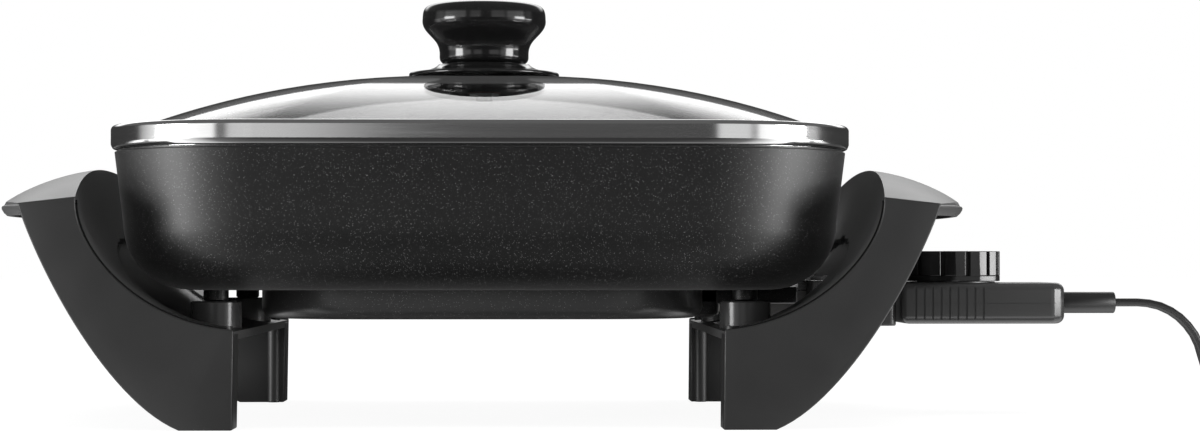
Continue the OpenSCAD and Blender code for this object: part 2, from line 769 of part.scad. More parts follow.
module grip_grooves() {
  for (i = [0:groove_count - 1], sy = [-1, 1])
    translate([control_x + groove_start + groove_pitch * i, sy * control_width / 2, housing_z + control_edge])
      translate([0, -groove_depth, 0]) cube([groove_width, 2 * groove_depth, control_height - 2 * control_edge]);
}

screw_posts = [[control_x + 8, control_width / 2 - 8], [control_end_x - 11, control_width / 2 - 10]];
post_outer_r = 3.6;

module at_screw_posts() {
  for (p = screw_posts, sy = [-1, 1]) translate([p[0], sy * p[1], 0]) children();
}

module nose_window() {
  x_block(snout_x - 1, snout_x + control_wall + 1, nose_width + 0.4, nose_z - 0.2, nose_z + nose_height + 0.2);
}

module relief_hole() {
  x_rod(control_end_x - control_wall - 1, control_end_x + 1, relief_r + 0.1, 0, control_z);
}

module control_top_shell() {
  color("#1d1d1f") at_pan() difference() {
    union() {
      difference() {
        control_form(0);
        control_form(control_wall);
        x_block(snout_x - 1, control_end_x + 1, control_width + 2, housing_z - 5, control_z);
      }
      at_screw_posts() translate([0, 0, control_z]) cylinder(r = post_outer_r, h = cavity_top_z - control_z + 0.5);
    }
    grip_grooves();
    nose_window();
    relief_hole();
    translate([dial_x, 0, control_z]) cylinder(r = spindle_r + 0.05, h = control_height);
    at_screw_posts() translate([0, 0, control_z - eps]) cylinder(r = 1.5, h = 5);
  }
}

module control_bottom_shell() {
  color("#1d1d1f") at_pan() difference() {
    union() {
      difference() {
        control_form(0);
        control_form(control_wall);
        x_block(snout_x - 1, control_end_x + 1, control_width + 2, control_z, control_z + control_height);
      }
      at_screw_posts() translate([0, 0, cavity_z - 0.5]) cylinder(r = post_outer_r, h = control_z - cavity_z + 0.5);
    }
    grip_grooves();
    nose_window();
    relief_hole();
    at_screw_posts() translate([0, 0, housing_z - eps]) {
      cylinder(r = 1.6, h = control_height);
      cylinder(r = 2.9, h = 2.4);
    }
  }
}

module control_screws() {
  color("#b9bcc0") at_pan() at_screw_posts() translate([0, 0, housing_z + 2.35]) {
    difference() {
      translate([0, 0, -1.8]) cylinder(r = 2.6, h = 1.8);
      for (a = [0, 90]) rotate([0, 0, a]) translate([-1.4, -0.3, -1.8 - eps]) cube([2.8, 0.6, 1]);
    }
    translate([0, 0, -eps]) cylinder(r = 1.45, h = control_z - housing_z + 2.4);
  }
}

module nose_block() {
  flange_x = snout_x + control_wall + 0.1;
  color("#3b3a39") at_pan() difference() {
    union() {
      x_block(nose_x, flange_x + 3, nose_width, nose_z, nose_z + nose_height);
      x_block(flange_x, flange_x + 3, nose_width + 1.2,
        snout_base_z + control_wall + 0.05, snout_base_z + snout_height - control_wall - 0.05);
    }
    for (sy = [-1, 1])
      x_rod(nose_x - 1, flange_x + 4, pin_r + 1, sy * pin_spacing / 2, terminal_z);
    x_rod(nose_x - 1, flange_x + 4, probe_r + 0.02, 0, terminal_z);
  }
}

module female_terminals() {
  color("#c79a55") at_pan() for (sy = [-1, 1]) difference() {
    x_rod(nose_x + 4, sleeve_end_x, pin_r + 0.95, sy * pin_spacing / 2, terminal_z);
    x_rod(nose_x + 3, guard_block_end + pin_reach + 1, pin_r + 0.05, sy * pin_spacing / 2, terminal_z);
  }
}

sensor_end_x = snout_x + 10;

module sensor_tube() {
  color("#d4d6d8") at_pan() difference() {
    x_rod(probe_tip_x, sensor_end_x, probe_r, 0, terminal_z);
    x_rod(probe_tip_x + 2, sensor_end_x + 1, 1.6, 0, terminal_z);
  }
}

bracket_x = dial_x - 18;

module push_rod() {
  color("#a7a29a") at_pan() x_rod(probe_tip_x + 2, bracket_x + 6, 1.5, 0, terminal_z);
}

module thermostat_bracket() {
  color("#b9bcc0") at_pan() difference() {
    union() {
      x_block(bracket_x, bracket_x + 1.5, 14, cavity_z, terminal_z + 5);
      x_block(bracket_x, stack_x, 14, cavity_z, cavity_z + 1.5);
    }
    x_rod(bracket_x - 1, bracket_x + 3, 1.6, 0, terminal_z);
  }
}

stack_x = dial_x + 29;
stack_length = 14;
leaf_thick = 0.5;
fixed_leaf_z = terminal_z - 3;
moving_leaf_z = terminal_z + 2;
contact_x = dial_x + 11;

module insulator_stack() {
  color("#d8cfbb") at_pan() difference() {
    x_block(stack_x, stack_x + stack_length, 12, cavity_z, moving_leaf_z + 5);
    x_block(stack_x - 1, stack_x + stack_length - 2, 8.1, fixed_leaf_z, fixed_leaf_z + leaf_thick);
    x_block(stack_x - 1, stack_x + stack_length - 2, 8.1, moving_leaf_z, moving_leaf_z + leaf_thick);
  }
}

module fixed_leaf() {
  color("#c79a55") at_pan() difference() {
    x_block(contact_x - 4, stack_x + stack_length - 2.1, 8, fixed_leaf_z, fixed_leaf_z + leaf_thick);
    translate([contact_x, 0, fixed_leaf_z - 1]) cylinder(r = 1.2, h = 3);
  }
}

module moving_leaf() {
  color("#c79a55") at_pan() difference() {
    union() {
      x_block(bracket_x + 6.1, stack_x + stack_length - 2.1, 8, moving_leaf_z, moving_leaf_z + leaf_thick);
      x_block(bracket_x + 6.1, bracket_x + 6.6, 8, terminal_z - 2, moving_leaf_z + leaf_thick);
    }
    translate([contact_x, 0, moving_leaf_z - 1]) cylinder(r = 1.2, h = 3);
  }
}

// A rivet with its head between the leaves
module contact(leaf_z, up) {
  translate([contact_x, 0, leaf_z + (up ? leaf_thick : 0)]) mirror([0, 0, up ? 0 : 1]) {
    cylinder(r = 2.6, h = (moving_leaf_z - fixed_leaf_z - leaf_thick) / 2 - 0.05);
    translate([0, 0, -leaf_thick]) cylinder(r = 1.2, h = leaf_thick);
  }
}

module contacts() {
  color("#dfe1e3") at_pan() {
    contact(fixed_leaf_z, true);
    contact(moving_leaf_z, false);
  }
}

// Round wire swept along 3-D points
module wire(points, r) {
  n = len(points);
  skin([
    for (i = [0:n - 1])
      let (d = points[min(i + 1, n - 1)] - points[max(i - 1, 0)], u = d / norm(d),
           s = cross([0, 0, 1], u) / norm(cross([0, 0, 1], u)), w = cross(u, s))
        [for (k = [0:7]) points[i] + r * (cos(45 * k) * s + sin(45 * k) * w)]
  ]);
}

// Mains lead, switched lead and link between the thermostat and the terminals
module inner_leads() {
  out = control_end_x - control_wall - 3.3;
  y_pin = pin_spacing / 2;
  side = control_width / 2;
  tail = sleeve_end_x + 0.2;
  color("#7a1f1c") at_pan() {
    wire([[tail, -y_pin, terminal_z], [tail + 8, -y_pin - 1, terminal_z], [dial_x, 13 - side, terminal_z],
      [out - 12, 18 - side, terminal_z], [out - 4.5, -3.5, control_z], [out, -2.6, control_z]], 1.2);
    wire([[stack_x + stack_length + 0.2, 2.6, terminal_z], [out - 3, 2.6, control_z], [out, 2.6, control_z]], 1.2);
    wire([[tail, y_pin, terminal_z], [tail + 8, y_pin + 1, terminal_z], [dial_x + 4, side - 14, terminal_z],
      [stack_x - 2, side - 18, moving_leaf_z], [stack_x + 4, 7.3, moving_leaf_z]], 1.2);
  }
}

module strain_relief() {
  flange_x = control_end_x - control_wall - 3.2;
  color("#1a1a1b") at_pan() {
    translate([control_end_x - control_wall - 1, 0, control_z]) rotate([0, 90, 0])
      cylinder(r1 = relief_r, r2 = relief_r - 0.4, h = relief_length + control_wall + 1);
    x_rod(flange_x, control_end_x - control_wall - 0.1, relief_r + 1.2, 0, control_z);
  }
}

// ---- Dial ----

// Angle of one slot, and the corner half a pitch past it
dial_phase = 12;
dial_hub_r = spindle_r + 6;

module dial() {
  h = dial_height;
  pitch = 360 / dial_slots;
  corners = [for (i = [0:dial_slots - 1]) let (a = dial_phase + pitch * (i + 0.5)) dial_r * [cos(a), sin(a)]];
  color("#101011") at_pan() translate([dial_x, 0, dial_z]) difference() {
    linear_extrude(h) polygon(corners);
    for (i = [0:dial_slots - 1]) rotate([0, 0, dial_phase + pitch * i])
      translate([dial_r - 1 - slot_depth, -slot_width / 2, 3]) cube([slot_depth + 2, slot_width, h]);
    translate([0, 0, -eps]) rotate_extrude() translate([dial_hub_r, 0]) square([dial_r - 5 - dial_hub_r, 3]);
    translate([0, 0, -1]) cylinder(r = spindle_r - 1, h = h - 3);
    translate([0, 0, -eps]) cylinder(r = spindle_r + 1, h = 3);
  }
}

module dial_spindle() {
  color("#b9bcc0") at_pan() translate([dial_x, 0, 0]) {
    translate([0, 0, terminal_z + 6]) cylinder(r = spindle_r, h = dial_z + 2.9 - terminal_z - 6);
    translate([0, 0, dial_z]) cylinder(r = spindle_r - 1, h = dial_height - 4.1);
  }
}

module thermostat_cam() {
  color("#d8cfbb") at_pan() translate([dial_x, 0, terminal_z + 4.4]) difference() {
    union() {
      cylinder(r = 7, h = 3.2);
      translate([3, 0, 0]) cylinder(r = 6, h = 3.2);
    }
    translate([0, 0, 1.6]) cylinder(r = spindle_r, h = 3);
  }
}

// ---- Cord ----

cord_z = 0.5 + cord_thick / 2;
coil_centre = [430, -56];
// Route of the cord before the coil, out of the strain relief and down to the counter
lead_points = [
  [relief_end_x + pan_x, 0, 60.5], [307, 0, 60.5], [313, 0, 60.5], [319, 0, 60], [325.3, 0, 58.5], [331, 0, 55.9],
  [336.1, 0, 52.4], [340.5, 0, 48], [344.2, 0, 42.9], [346.8, 0, 37.5], [348.5, 0, 31.7],
  [350.2, 0, 26], [352.8, 0, 20.7], [356.4, 0, 15.7], [360.9, 0, 11.2], [366, 0, 7.6], [371.7, 0, 4.9],
  [377.8, 0, 3.2], [384, 0, 2.7], [391, 0, 2.7], [398, 0, 2.7], [405, 0, 2.7]
];
// Route from the inner turn up to the plug, which lies on the coil
tail_points = [
  [428, -17.2, 7.4], [434, -17.2, 9], [440, -17.2, 10.5], [446, -17.2, 11.6], [452, -17.2, 12.2],
  [456, -17.2, 12.3]
];
plug_x = 456;

// Flat oval tube along a route that stays in one XZ plane
module flat_cord(points) {
  n = len(points);
  skin([
    for (i = [0:n - 1])
      let (d = points[min(i + 1, n - 1)] - points[max(i - 1, 0)], u = d / norm(d), w = [-u[2], 0, u[0]])
        [for (p = [[1, 0.45], [0.6, 1], [-0.6, 1], [-1, 0.45], [-1, -0.45], [-0.6, -1], [0.6, -1], [1, -0.45]])
          points[i] + p[0] * cord_width / 2 * [0, 1, 0] + p[1] * cord_thick / 2 * w]
  ]);
}

module cord() {
  color("#1a1a1b") {
    flat_cord(lead_points);
    flat_cord(tail_points);
  }
}

coil_inner_r = coil_r - coil_turns * coil_pitch - cord_width / 2;
coil_outer_r = coil_r + cord_width / 2;

module cord_coil() {
  color("#1a1a1b") translate([coil_centre[0], coil_centre[1], cord_z - cord_thick / 2])
    rotate_extrude($fn = 96) translate([coil_inner_r, 0]) square([coil_outer_r - coil_inner_r, cord_thick]);
}

module coil_tie() {
  tie_wall = 0.5;
  width = coil_outer_r - coil_inner_r + 0.4;
  mid = (coil_outer_r + coil_inner_r) / 2;
  color("#3c3c3e") translate([coil_centre[0], coil_centre[1] - mid, 0]) difference() {
    translate([-4, -width / 2 - tie_wall, 0]) cube([8, width + 2 * tie_wall, cord_thick + 2 * tie_wall + 0.1]);
    translate([-5, -width / 2, tie_wall]) cube([10, width, cord_thick + 0.1]);
  }
}

plug_z = tail_points[5][2];
plug_y = tail_points[5][1];

module plug_body() {
  neck = 10;
  color("#1a1a1b") translate([plug_x, plug_y, plug_z]) {
    rotate([0, 90, 0]) linear_extrude(plug_length - 12) rounded_rect(cord_thick + 4, cord_width + 4, 3.5);
    translate([neck, 0, 0]) rotate([0, 90, 0]) linear_extrude(plug_length - neck)
      rounded_rect(plug_thick, plug_width, 5);
  }
}

module plug_blades() {
  blade_gap = 12.7;
  color("#c9ccd0") translate([plug_x + plug_length, plug_y, plug_z]) for (sy = [-1, 1])
    translate([-3, sy * blade_gap / 2 - 0.75, -3.2]) difference() {
      cube([20, 1.5, 6.4]);
      translate([16, -1, 3.2]) rotate([-90, 0, 0]) cylinder(r = 1.3, h = 4);
    }
}

pan();
heating_element();
terminal_bushes();
terminal_pins();
left_handle();
right_handle();
handle_washers();
handle_screws();
lid_glass();
lid_seal();
lid_band();
knob();
knob_base();
knob_insert();
knob_fibre_washer();
knob_steel_washer();
knob_screw();
control_top_shell();
control_bottom_shell();
control_screws();
nose_block();
female_terminals();
sensor_tube();
push_rod();
thermostat_bracket();
insulator_stack();
fixed_leaf();
moving_leaf();
contacts();
inner_leads();
strain_relief();
dial();
dial_spindle();
thermostat_cam();
cord();
cord_coil();
coil_tie();
plug_body();
plug_blades();
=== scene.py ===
"""Electric skillet: camera, cord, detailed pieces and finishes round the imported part."""

import math

import bmesh
import bpy
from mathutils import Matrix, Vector


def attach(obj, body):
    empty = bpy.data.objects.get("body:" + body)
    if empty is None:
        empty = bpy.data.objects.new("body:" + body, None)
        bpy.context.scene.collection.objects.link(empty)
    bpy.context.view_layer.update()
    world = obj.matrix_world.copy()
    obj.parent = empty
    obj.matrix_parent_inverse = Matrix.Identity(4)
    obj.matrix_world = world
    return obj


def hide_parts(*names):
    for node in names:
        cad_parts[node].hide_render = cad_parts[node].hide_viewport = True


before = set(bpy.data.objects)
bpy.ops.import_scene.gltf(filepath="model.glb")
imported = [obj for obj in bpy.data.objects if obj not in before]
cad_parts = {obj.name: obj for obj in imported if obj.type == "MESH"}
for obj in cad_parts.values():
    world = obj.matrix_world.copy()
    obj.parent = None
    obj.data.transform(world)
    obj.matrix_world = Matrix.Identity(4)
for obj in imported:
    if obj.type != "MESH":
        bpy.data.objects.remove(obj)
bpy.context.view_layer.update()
scene = bpy.context.scene

# Sizes and places are in mm, along X from the pan's centre, unless a comment says otherwise
MM = 0.001
PAN_X = -45.485  # the pan's centre in the frame


# ---- Camera ----

CAMERA_PLACE, CAMERA_HEADING = (-0.019245, -1.4267, 0.08039), (0.02599, 0.99948, 0.0190)  # metres
camera_data = bpy.data.cameras.new("camera")
camera_data.lens, camera_data.sensor_width, camera_data.clip_end = 78.35, 36, 60
camera = bpy.data.objects.new("camera", camera_data)
scene.collection.objects.link(camera)
camera.location = CAMERA_PLACE
camera.rotation_euler = Vector(CAMERA_HEADING).to_track_quat("-Z", "Y").to_euler()
scene.camera = camera


# ---- Finishes ----

class Val:
    """A number, colour or vector in a material, so that its maths reads as plain expressions."""

    def __init__(self, tree, socket):
        self.tree, self.socket = tree, socket

    def make(self, kind, sockets, pick=0, **settings):
        node = self.tree.nodes.new(kind)
        for key, value in settings.items():
            setattr(node, key, value)
        for key, value in sockets.items():
            self.feed(node.inputs[key], value)
        return Val(self.tree, node.outputs[pick])

    def feed(self, socket, value):
        if isinstance(value, Val):
            self.tree.links.new(value.socket, socket)
        else:
            socket.default_value = value

    def maths(self, operation, a, b=0.0):
        return self.make("ShaderNodeMath", {0: a, 1: b}, operation=operation)

    def __add__(self, other):
        return self.maths("ADD", self, other)

    def __sub__(self, other):
        return self.maths("SUBTRACT", self, other)

    def __mul__(self, other):
        return self.maths("MULTIPLY", self, other)

    def __truediv__(self, other):
        return self.maths("DIVIDE", self, other)

    def __radd__(self, other):
        return self.maths("ADD", other, self)

    def __rsub__(self, other):
        return self.maths("SUBTRACT", other, self)

    def __rmul__(self, other):
        return self.maths("MULTIPLY", other, self)

    def __lt__(self, other):
        return self.maths("LESS_THAN", self, other)

    def __gt__(self, other):
        return self.maths("GREATER_THAN", self, other)

    def clamp(self):
        return self.make("ShaderNodeClamp", {0: self})

    def scaled(self, factors):
        return self.make("ShaderNodeVectorMath", {0: self, 1: factors}, operation="MULTIPLY")

    def noise(self, size, detail=3.0):
        return self.make("ShaderNodeTexNoise", {"Vector": self, "Scale": size, "Detail": detail})

    def stepped(self, stops):
        """Grey levels at stops from 0 to 1."""
        ramp = self.make("ShaderNodeValToRGB", {0: self})
        elements = ramp.socket.node.color_ramp.elements
        while len(elements) > 1:
            elements.remove(elements[-1])
        elements[0].position, elements[0].color = stops[0][0], (*[stops[0][1]] * 3, 1)
        for position, grey in stops[1:]:
            elements.new(position).color = (grey, grey, grey, 1)
        return ramp

    def mixed(self, a, b):
        """Colour a where this value is 0 and b where it is 1."""
        return self.make("ShaderNodeMix", {0: self, 6: a, 7: b}, pick=2, data_type="RGBA")


FLECK_CELLS, FLECK_REACH = 2400.0, 0.36  # cells per metre, and how far a fleck reaches in its cell


def rgb(level, tint=(1.0, 1.0, 1.0)):
    return (level * tint[0], level * tint[1], level * tint[2], 1.0)


def finish(name, dark, light, rough, metal=0.0, stretch=(1, 1, 1), patch=40, grain=1500,
           relief=0.0, rough_play=0.06, fleck=0.0, fleck_colour=None, **settings):
    """A finish that wanders between two colours, with a fine grain in roughness and relief.

    Patch and grain are per metre, relief is in metres, and fleck is the share of cells with one.
    """
    material = bpy.data.materials.new(name)
    material.use_nodes = True
    tree = material.node_tree
    shader = tree.nodes["Principled BSDF"]
    place = Val(tree, tree.nodes.new("ShaderNodeTexCoord").outputs["Object"])
    spot = place.scaled(stretch)
    broad, fine = spot.noise(patch), spot.noise(grain, 2.0)
    mix = ((broad - 0.5) * 1.4 + (fine - 0.5) * 0.8 + 0.5).clamp()
    colour = mix.mixed(dark, light)
    if fleck:
        cells = place.make("ShaderNodeTexVoronoi", {"Vector": place, "Scale": FLECK_CELLS})
        cell_colour = {0: Val(tree, cells.socket.node.outputs["Color"])}
        chance, bright = (place.make("ShaderNodeSeparateColor", cell_colour, pick=k)
                          for k in (0, 1))
        shown = (cells < FLECK_REACH) * (chance > 1 - fleck)
        colour = (shown * (0.15 + 0.85 * bright * bright)).mixed(colour, fleck_colour)
    place.feed(shader.inputs["Base Color"], colour)
    wander = (fine - 0.5) * rough_play + (broad - 0.5) * rough_play
    place.feed(shader.inputs["Roughness"], rough + wander)
    shader.inputs["Metallic"].default_value = metal
    for key, value in settings.items():
        shader.inputs[key.replace("_", " ")].default_value = value
    if relief:
        bump = place.make("ShaderNodeBump", {"Height": fine, "Distance": relief, "Strength": 0.6})
        place.feed(shader.inputs["Normal"], bump)
    return material


FINISHES = {
    "pan_coating": finish("pan_coating", rgb(0.003), rgb(0.0045), 0.45, relief=0.00005, grain=1100,
                          fleck=0.12, fleck_colour=rgb(0.36), Specular_IOR_Level=0.72,
                          Sheen_Weight=0.1, Sheen_Roughness=0.35),
    "heater_sheath": finish("heater_sheath", rgb(0.25), rgb(0.42), 0.42, metal=1.0),
    "ceramic": finish("ceramic", rgb(0.6, (1, 0.97, 0.9)), rgb(0.72, (1, 0.97, 0.9)), 0.25),
    "terminal_metal": finish("terminal_metal", rgb(0.5), rgb(0.62), 0.25, metal=1.0),
    "handle_plastic": finish("handle_plastic", rgb(0.017), rgb(0.023), 0.42, relief=0.00004,
                             grain=1700),
    "steel": finish("steel", rgb(0.4), rgb(0.52), 0.3, metal=1.0),
    "seal_rubber": finish("seal_rubber", rgb(0.014), rgb(0.022), 0.65),
    "band_steel": finish("band_steel", rgb(0.62), rgb(0.7), 0.13, metal=1.0, stretch=(1, 1, 40),
                         patch=14, grain=160, rough_play=0.05),
    "knob_plastic": finish("knob_plastic", rgb(0.006), rgb(0.009), 0.12, grain=500,
                           rough_play=0.02),
    "brass": finish("brass", rgb(0.5, (1, 0.78, 0.4)), rgb(0.62, (1, 0.8, 0.42)), 0.28, metal=1.0),
    "fibre": finish("fibre", rgb(0.16, (1, 0.36, 0.26)), rgb(0.22, (1, 0.38, 0.28)), 0.7,
                    relief=0.0001),
    "control_plastic": finish("control_plastic", rgb(0.032), rgb(0.036), 0.26, patch=12,
                              rough_play=0.02),
    "nose_plastic": finish("nose_plastic", rgb(0.035, (1, 0.98, 0.95)),
                           rgb(0.05, (1, 0.98, 0.95)), 0.5),
    "probe_metal": finish("probe_metal", rgb(0.55), rgb(0.68), 0.2, metal=1.0, stretch=(6, 1, 1)),
    "insulator": finish("insulator", rgb(0.55, (1, 0.93, 0.78)), rgb(0.65, (1, 0.93, 0.8)), 0.5),
    "contact_silver": finish("contact_silver", rgb(0.75), rgb(0.85), 0.15, metal=1.0),
    "wire_insulation": finish("wire_insulation", rgb(0.17, (1, 0.12, 0.1)),
                              rgb(0.2, (1, 0.13, 0.11)), 0.45),
    "cord_rubber": finish("cord_rubber", rgb(0.008), rgb(0.013), 0.42),
    "dial_plastic": finish("dial_plastic", rgb(0.005), rgb(0.008), 0.14, grain=500,
                           rough_play=0.02),
    "tie": finish("tie", rgb(0.03), rgb(0.05), 0.8, grain=2500, relief=0.0003),
    "lid_glass": finish("lid_glass", rgb(0.45), rgb(0.49), 0.01, patch=8,
                        rough_play=0.0, Transmission_Weight=1.0, IOR=1.5),
}


EDGE_GREY = 0.035
# The glass's tint by how squarely it is looked at; the band of full clearness short of edge-on is a
# painted highlight
GLASS_TINT_AND_PAINTED_HIGHLIGHT = [(0.0, 0.86), (0.6, 0.86), (0.76, 1.0), (0.82, 1.0), (0.86, 0.5), (1.0, 0.2)]
GLASS_DARK = [(0.0, 0.0), (0.82, 0.0), (0.84, 0.93), (0.96, 0.96), (0.985, 1.0)]


def edge_darkened(material, clear, dark):
    """Glass that is clear or tinted by how it is looked at, and dark where it is seen edge-on."""
    tree = material.node_tree
    facing = Val(tree, tree.nodes.new("ShaderNodeLayerWeight").outputs["Facing"])
    glass = tree.nodes["Principled BSDF"]
    facing.feed(glass.inputs["Base Color"], facing.stepped(clear))
    edge = facing.make("ShaderNodeBsdfDiffuse", {"Color": rgb(EDGE_GREY)})
    both = facing.make("ShaderNodeMixShader",
                       {0: facing.stepped(dark), 1: Val(tree, glass.outputs[0]), 2: edge})
    facing.feed(tree.nodes["Material Output"].inputs["Surface"], both)


edge_darkened(FINISHES["lid_glass"], GLASS_TINT_AND_PAINTED_HIGHLIGHT, GLASS_DARK)

# Finishes of pieces that share a slot with a larger one: print, lighter copies of the slot's finish
# with painted light, and a painted shadow line
PRINT = finish("dial_print", rgb(0.7), rgb(0.8), 0.4)
# The bosses are the handle plastic painted lighter: painted light where they sit in the shade under
# the pan
BOSS_PAINTED_LIGHT = finish("handle_boss", rgb(0.042), rgb(0.05), 0.2, rough_play=0.02)
# The web and grip are the plates' plastic painted lighter: painted light on the grip and web
WEB_PAINTED_LIGHT = finish("handle_web", rgb(0.06), rgb(0.072), 0.38, relief=0.00004, grain=1700)
# The rib is the pan's coating painted lighter: painted light on it where it sits in the shade under
# the pan
RIB_PAINTED_LIGHT = finish("heater_casting", rgb(0.026), rgb(0.031), 0.36, relief=0.00005, grain=1100,
             fleck=0.1, fleck_colour=rgb(0.36), Specular_IOR_Level=1.0)
# Near-black finish for the bead along the plates' inner edges: a painted shadow line
PAINTED_SHADOW = finish("handle_seam", rgb(0.002), rgb(0.003), 0.6, Specular_IOR_Level=0.2)

# Finishes of the solids that are shown as they are
SLOTS = {
    "heater_sheath": ["heating_element"], "ceramic": ["terminal_bushes"],
    "terminal_metal": ["terminal_pins", "plug_blades"],
    "steel": ["handle_washers", "handle_screws", "knob_steel_washer", "knob_screw",
              "control_screws", "thermostat_bracket", "dial_spindle"],
    "seal_rubber": ["lid_seal"],
    "brass": ["knob_insert", "female_terminals", "fixed_leaf", "moving_leaf"],
    "fibre": ["knob_fibre_washer"], "nose_plastic": ["nose_block"],
    "control_plastic": ["control_top_shell", "control_bottom_shell"],
    "probe_metal": ["sensor_tube", "push_rod"],
    "insulator": ["insulator_stack", "thermostat_cam"], "contact_silver": ["contacts"],
    "wire_insulation": ["inner_leads"], "cord_rubber": ["plug_body"], "tie": ["coil_tie"],
}
for slot, names in SLOTS.items():
    for name in names:
        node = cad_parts[name]
        node.data.materials.clear()
        node.data.materials.append(FINISHES[slot])


# ---- Shapes ----

def refine(mesh, sharp=32, merge=True):
    """Merges doubles, turns faces outwards and marks the hard edges."""
    form = bmesh.new()
    form.from_mesh(mesh)
    if merge:
        bmesh.ops.remove_doubles(form, verts=form.verts, dist=2e-6)
        bmesh.ops.dissolve_degenerate(form, edges=form.edges, dist=1e-6)
    bmesh.ops.recalc_face_normals(form, faces=form.faces)
    for face in form.faces:
        face.smooth = True
    for edge in form.edges:
        edge.smooth = len(edge.link_faces) != 2 or edge.calc_face_angle(0.0) < math.radians(sharp)
    form.to_mesh(mesh)
    form.free()
    return mesh


def shape(name, verts, faces, sharp=32, at=(PAN_X, 0, 0)):
    """An object from points in mm, measured from the given place."""
    mesh = bpy.data.meshes.new(name)
    mesh.from_pydata([[(v[k] + at[k]) * MM for k in range(3)] for v in verts], [], faces)
    refine(mesh, sharp)
    obj = bpy.data.objects.new(name, mesh)
    scene.collection.objects.link(obj)
    return obj


def skin(rings, looped=False):
    """Points and faces of a closed skin over rings of equally many points."""
    n, m = len(rings[0]), len(rings)
    faces = [
        (j * n + i, (j + 1) % m * n + i, (j + 1) % m * n + (i + 1) % n, j * n + (i + 1) % n)
        for j in range(m if looped else m - 1) for i in range(n)
    ]
    if not looped:
        faces += [tuple(range(n)), tuple(range((m - 1) * n, m * n))[::-1]]
    return [v for ring in rings for v in ring], faces


def baked(obj, name=None):
    """The object as its modifiers leave it, as a plain mesh object in its place."""
    bpy.context.view_layer.update()
    mesh = bpy.data.meshes.new_from_object(obj.evaluated_get(bpy.context.evaluated_depsgraph_get()))
    plain = bpy.data.objects.new(name or obj.name + "_form", mesh)
    scene.collection.objects.link(plain)
    bpy.data.objects.remove(obj)
    return plain


def bevelled(obj, width, segments=2, angle=40):
    bevel = obj.modifiers.new("bevel", "BEVEL")
    bevel.width, bevel.segments, bevel.limit_method = width * MM, segments, "ANGLE"
    bevel.angle_limit, bevel.use_clamp_overlap = math.radians(angle), True
    result = baked(obj, obj.name)
    refine(result.data, 50, merge=False)
    return result


def carved(obj, *cutters, operation="DIFFERENCE"):
    """The object less its cutters, or with them, and the cutters gone."""
    for cutter in cutters:
        cut = obj.modifiers.new("cut", "BOOLEAN")
        cut.operation, cut.solver, cut.object = operation, "EXACT", cutter
    result = baked(obj, obj.name)
    for cutter in cutters:
        bpy.data.objects.remove(cutter)
    refine(result.data)
    return result


def joined(name, *objects):
    form = bmesh.new()
    for obj in objects:
        form.from_mesh(obj.data)
        bpy.data.objects.remove(obj)
    mesh = bpy.data.meshes.new(name)
    form.to_mesh(mesh)
    form.free()
    obj = bpy.data.objects.new(name, mesh)
    scene.collection.objects.link(obj)
    return obj


def block(name, x0, x1, y0, y1, z0, z1, round_by=0.0, segments=3):
    corners = [(x, y, z) for z in (z0, z1) for x, y in ((x0, y0), (x1, y0), (x1, y1), (x0, y1))]
    faces = [(0, 1, 2, 3), (4, 7, 6, 5), (0, 4, 5, 1), (1, 5, 6, 2), (2, 6, 7, 3), (3, 7, 4, 0)]
    obj = shape(name, corners, faces)
    return bevelled(obj, round_by, segments) if round_by else obj


def prism(name, outline, y0, y1):
    """Outline in the XZ plane, from y0 to y1."""
    n = len(outline)
    verts = [(x, y, z) for y in (y0, y1) for x, z in outline]
    faces = [tuple(range(n)), tuple(range(n, 2 * n))[::-1]]
    faces += [(i, i + n, (i + 1) % n + n, (i + 1) % n) for i in range(n)]
    return shape(name, verts, faces)


def turned(name, outline, x, y, z, steps=72):
    """A closed outline of (radius, height) turned round a vertical axis."""
    rings = [[(r * math.cos(math.tau * k / steps), r * math.sin(math.tau * k / steps), h)
              for r, h in outline] for k in range(steps)]
    return shape(name, *skin(rings, looped=True), at=(PAN_X + x, y, z))


def fitted(obj, slot, body, *nodes, material=None):
    """Gives a piece its finish, its body and the nodes that it stands for."""
    obj.data.materials.clear()
    obj.data.materials.append(material or FINISHES[slot])
    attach(obj, body)
    if nodes:
        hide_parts(*nodes)
    return obj


CORNER_STEPS = 16


def ring(length, depth, corner, z):
    """A rounded rectangle at one height."""
    points = []
    for q in range(4):
        sx, sy = (1 if q in (0, 3) else -1), (1 if q < 2 else -1)
        for i in range(CORNER_STEPS + 1):
            a = math.radians(90 * (q + i / CORNER_STEPS))
            points.append((sx * (length / 2 - corner) + corner * math.cos(a),
                           sy * (depth / 2 - corner) + corner * math.sin(a), z))
    return points


def bezier(p, steps):
    """Points along a cubic curve from p[0] to p[3]."""
    out = []
    for i in range(steps + 1):
        t = i / steps
        w = ((1 - t) ** 3, 3 * t * (1 - t) ** 2, 3 * t * t * (1 - t), t ** 3)
        out.append(tuple(sum(w[k] * p[k][axis] for k in range(4)) for axis in range(len(p[0]))))
    return out


def moved(line, distance):
    """A line of 2-D points moved sideways, to its right, by one distance or one per point."""
    out = []
    for i, point in enumerate(line):
        a, b = line[max(i - 1, 0)], line[min(i + 1, len(line) - 1)]
        v = (b[0] - a[0], b[1] - a[1])
        d = (distance[i] if isinstance(distance, list) else distance) / math.hypot(*v)
        out.append((point[0] + d * v[1], point[1] - d * v[0]))
    return out


# ---- Geometry Nodes: what follows a path, and what repeats ----

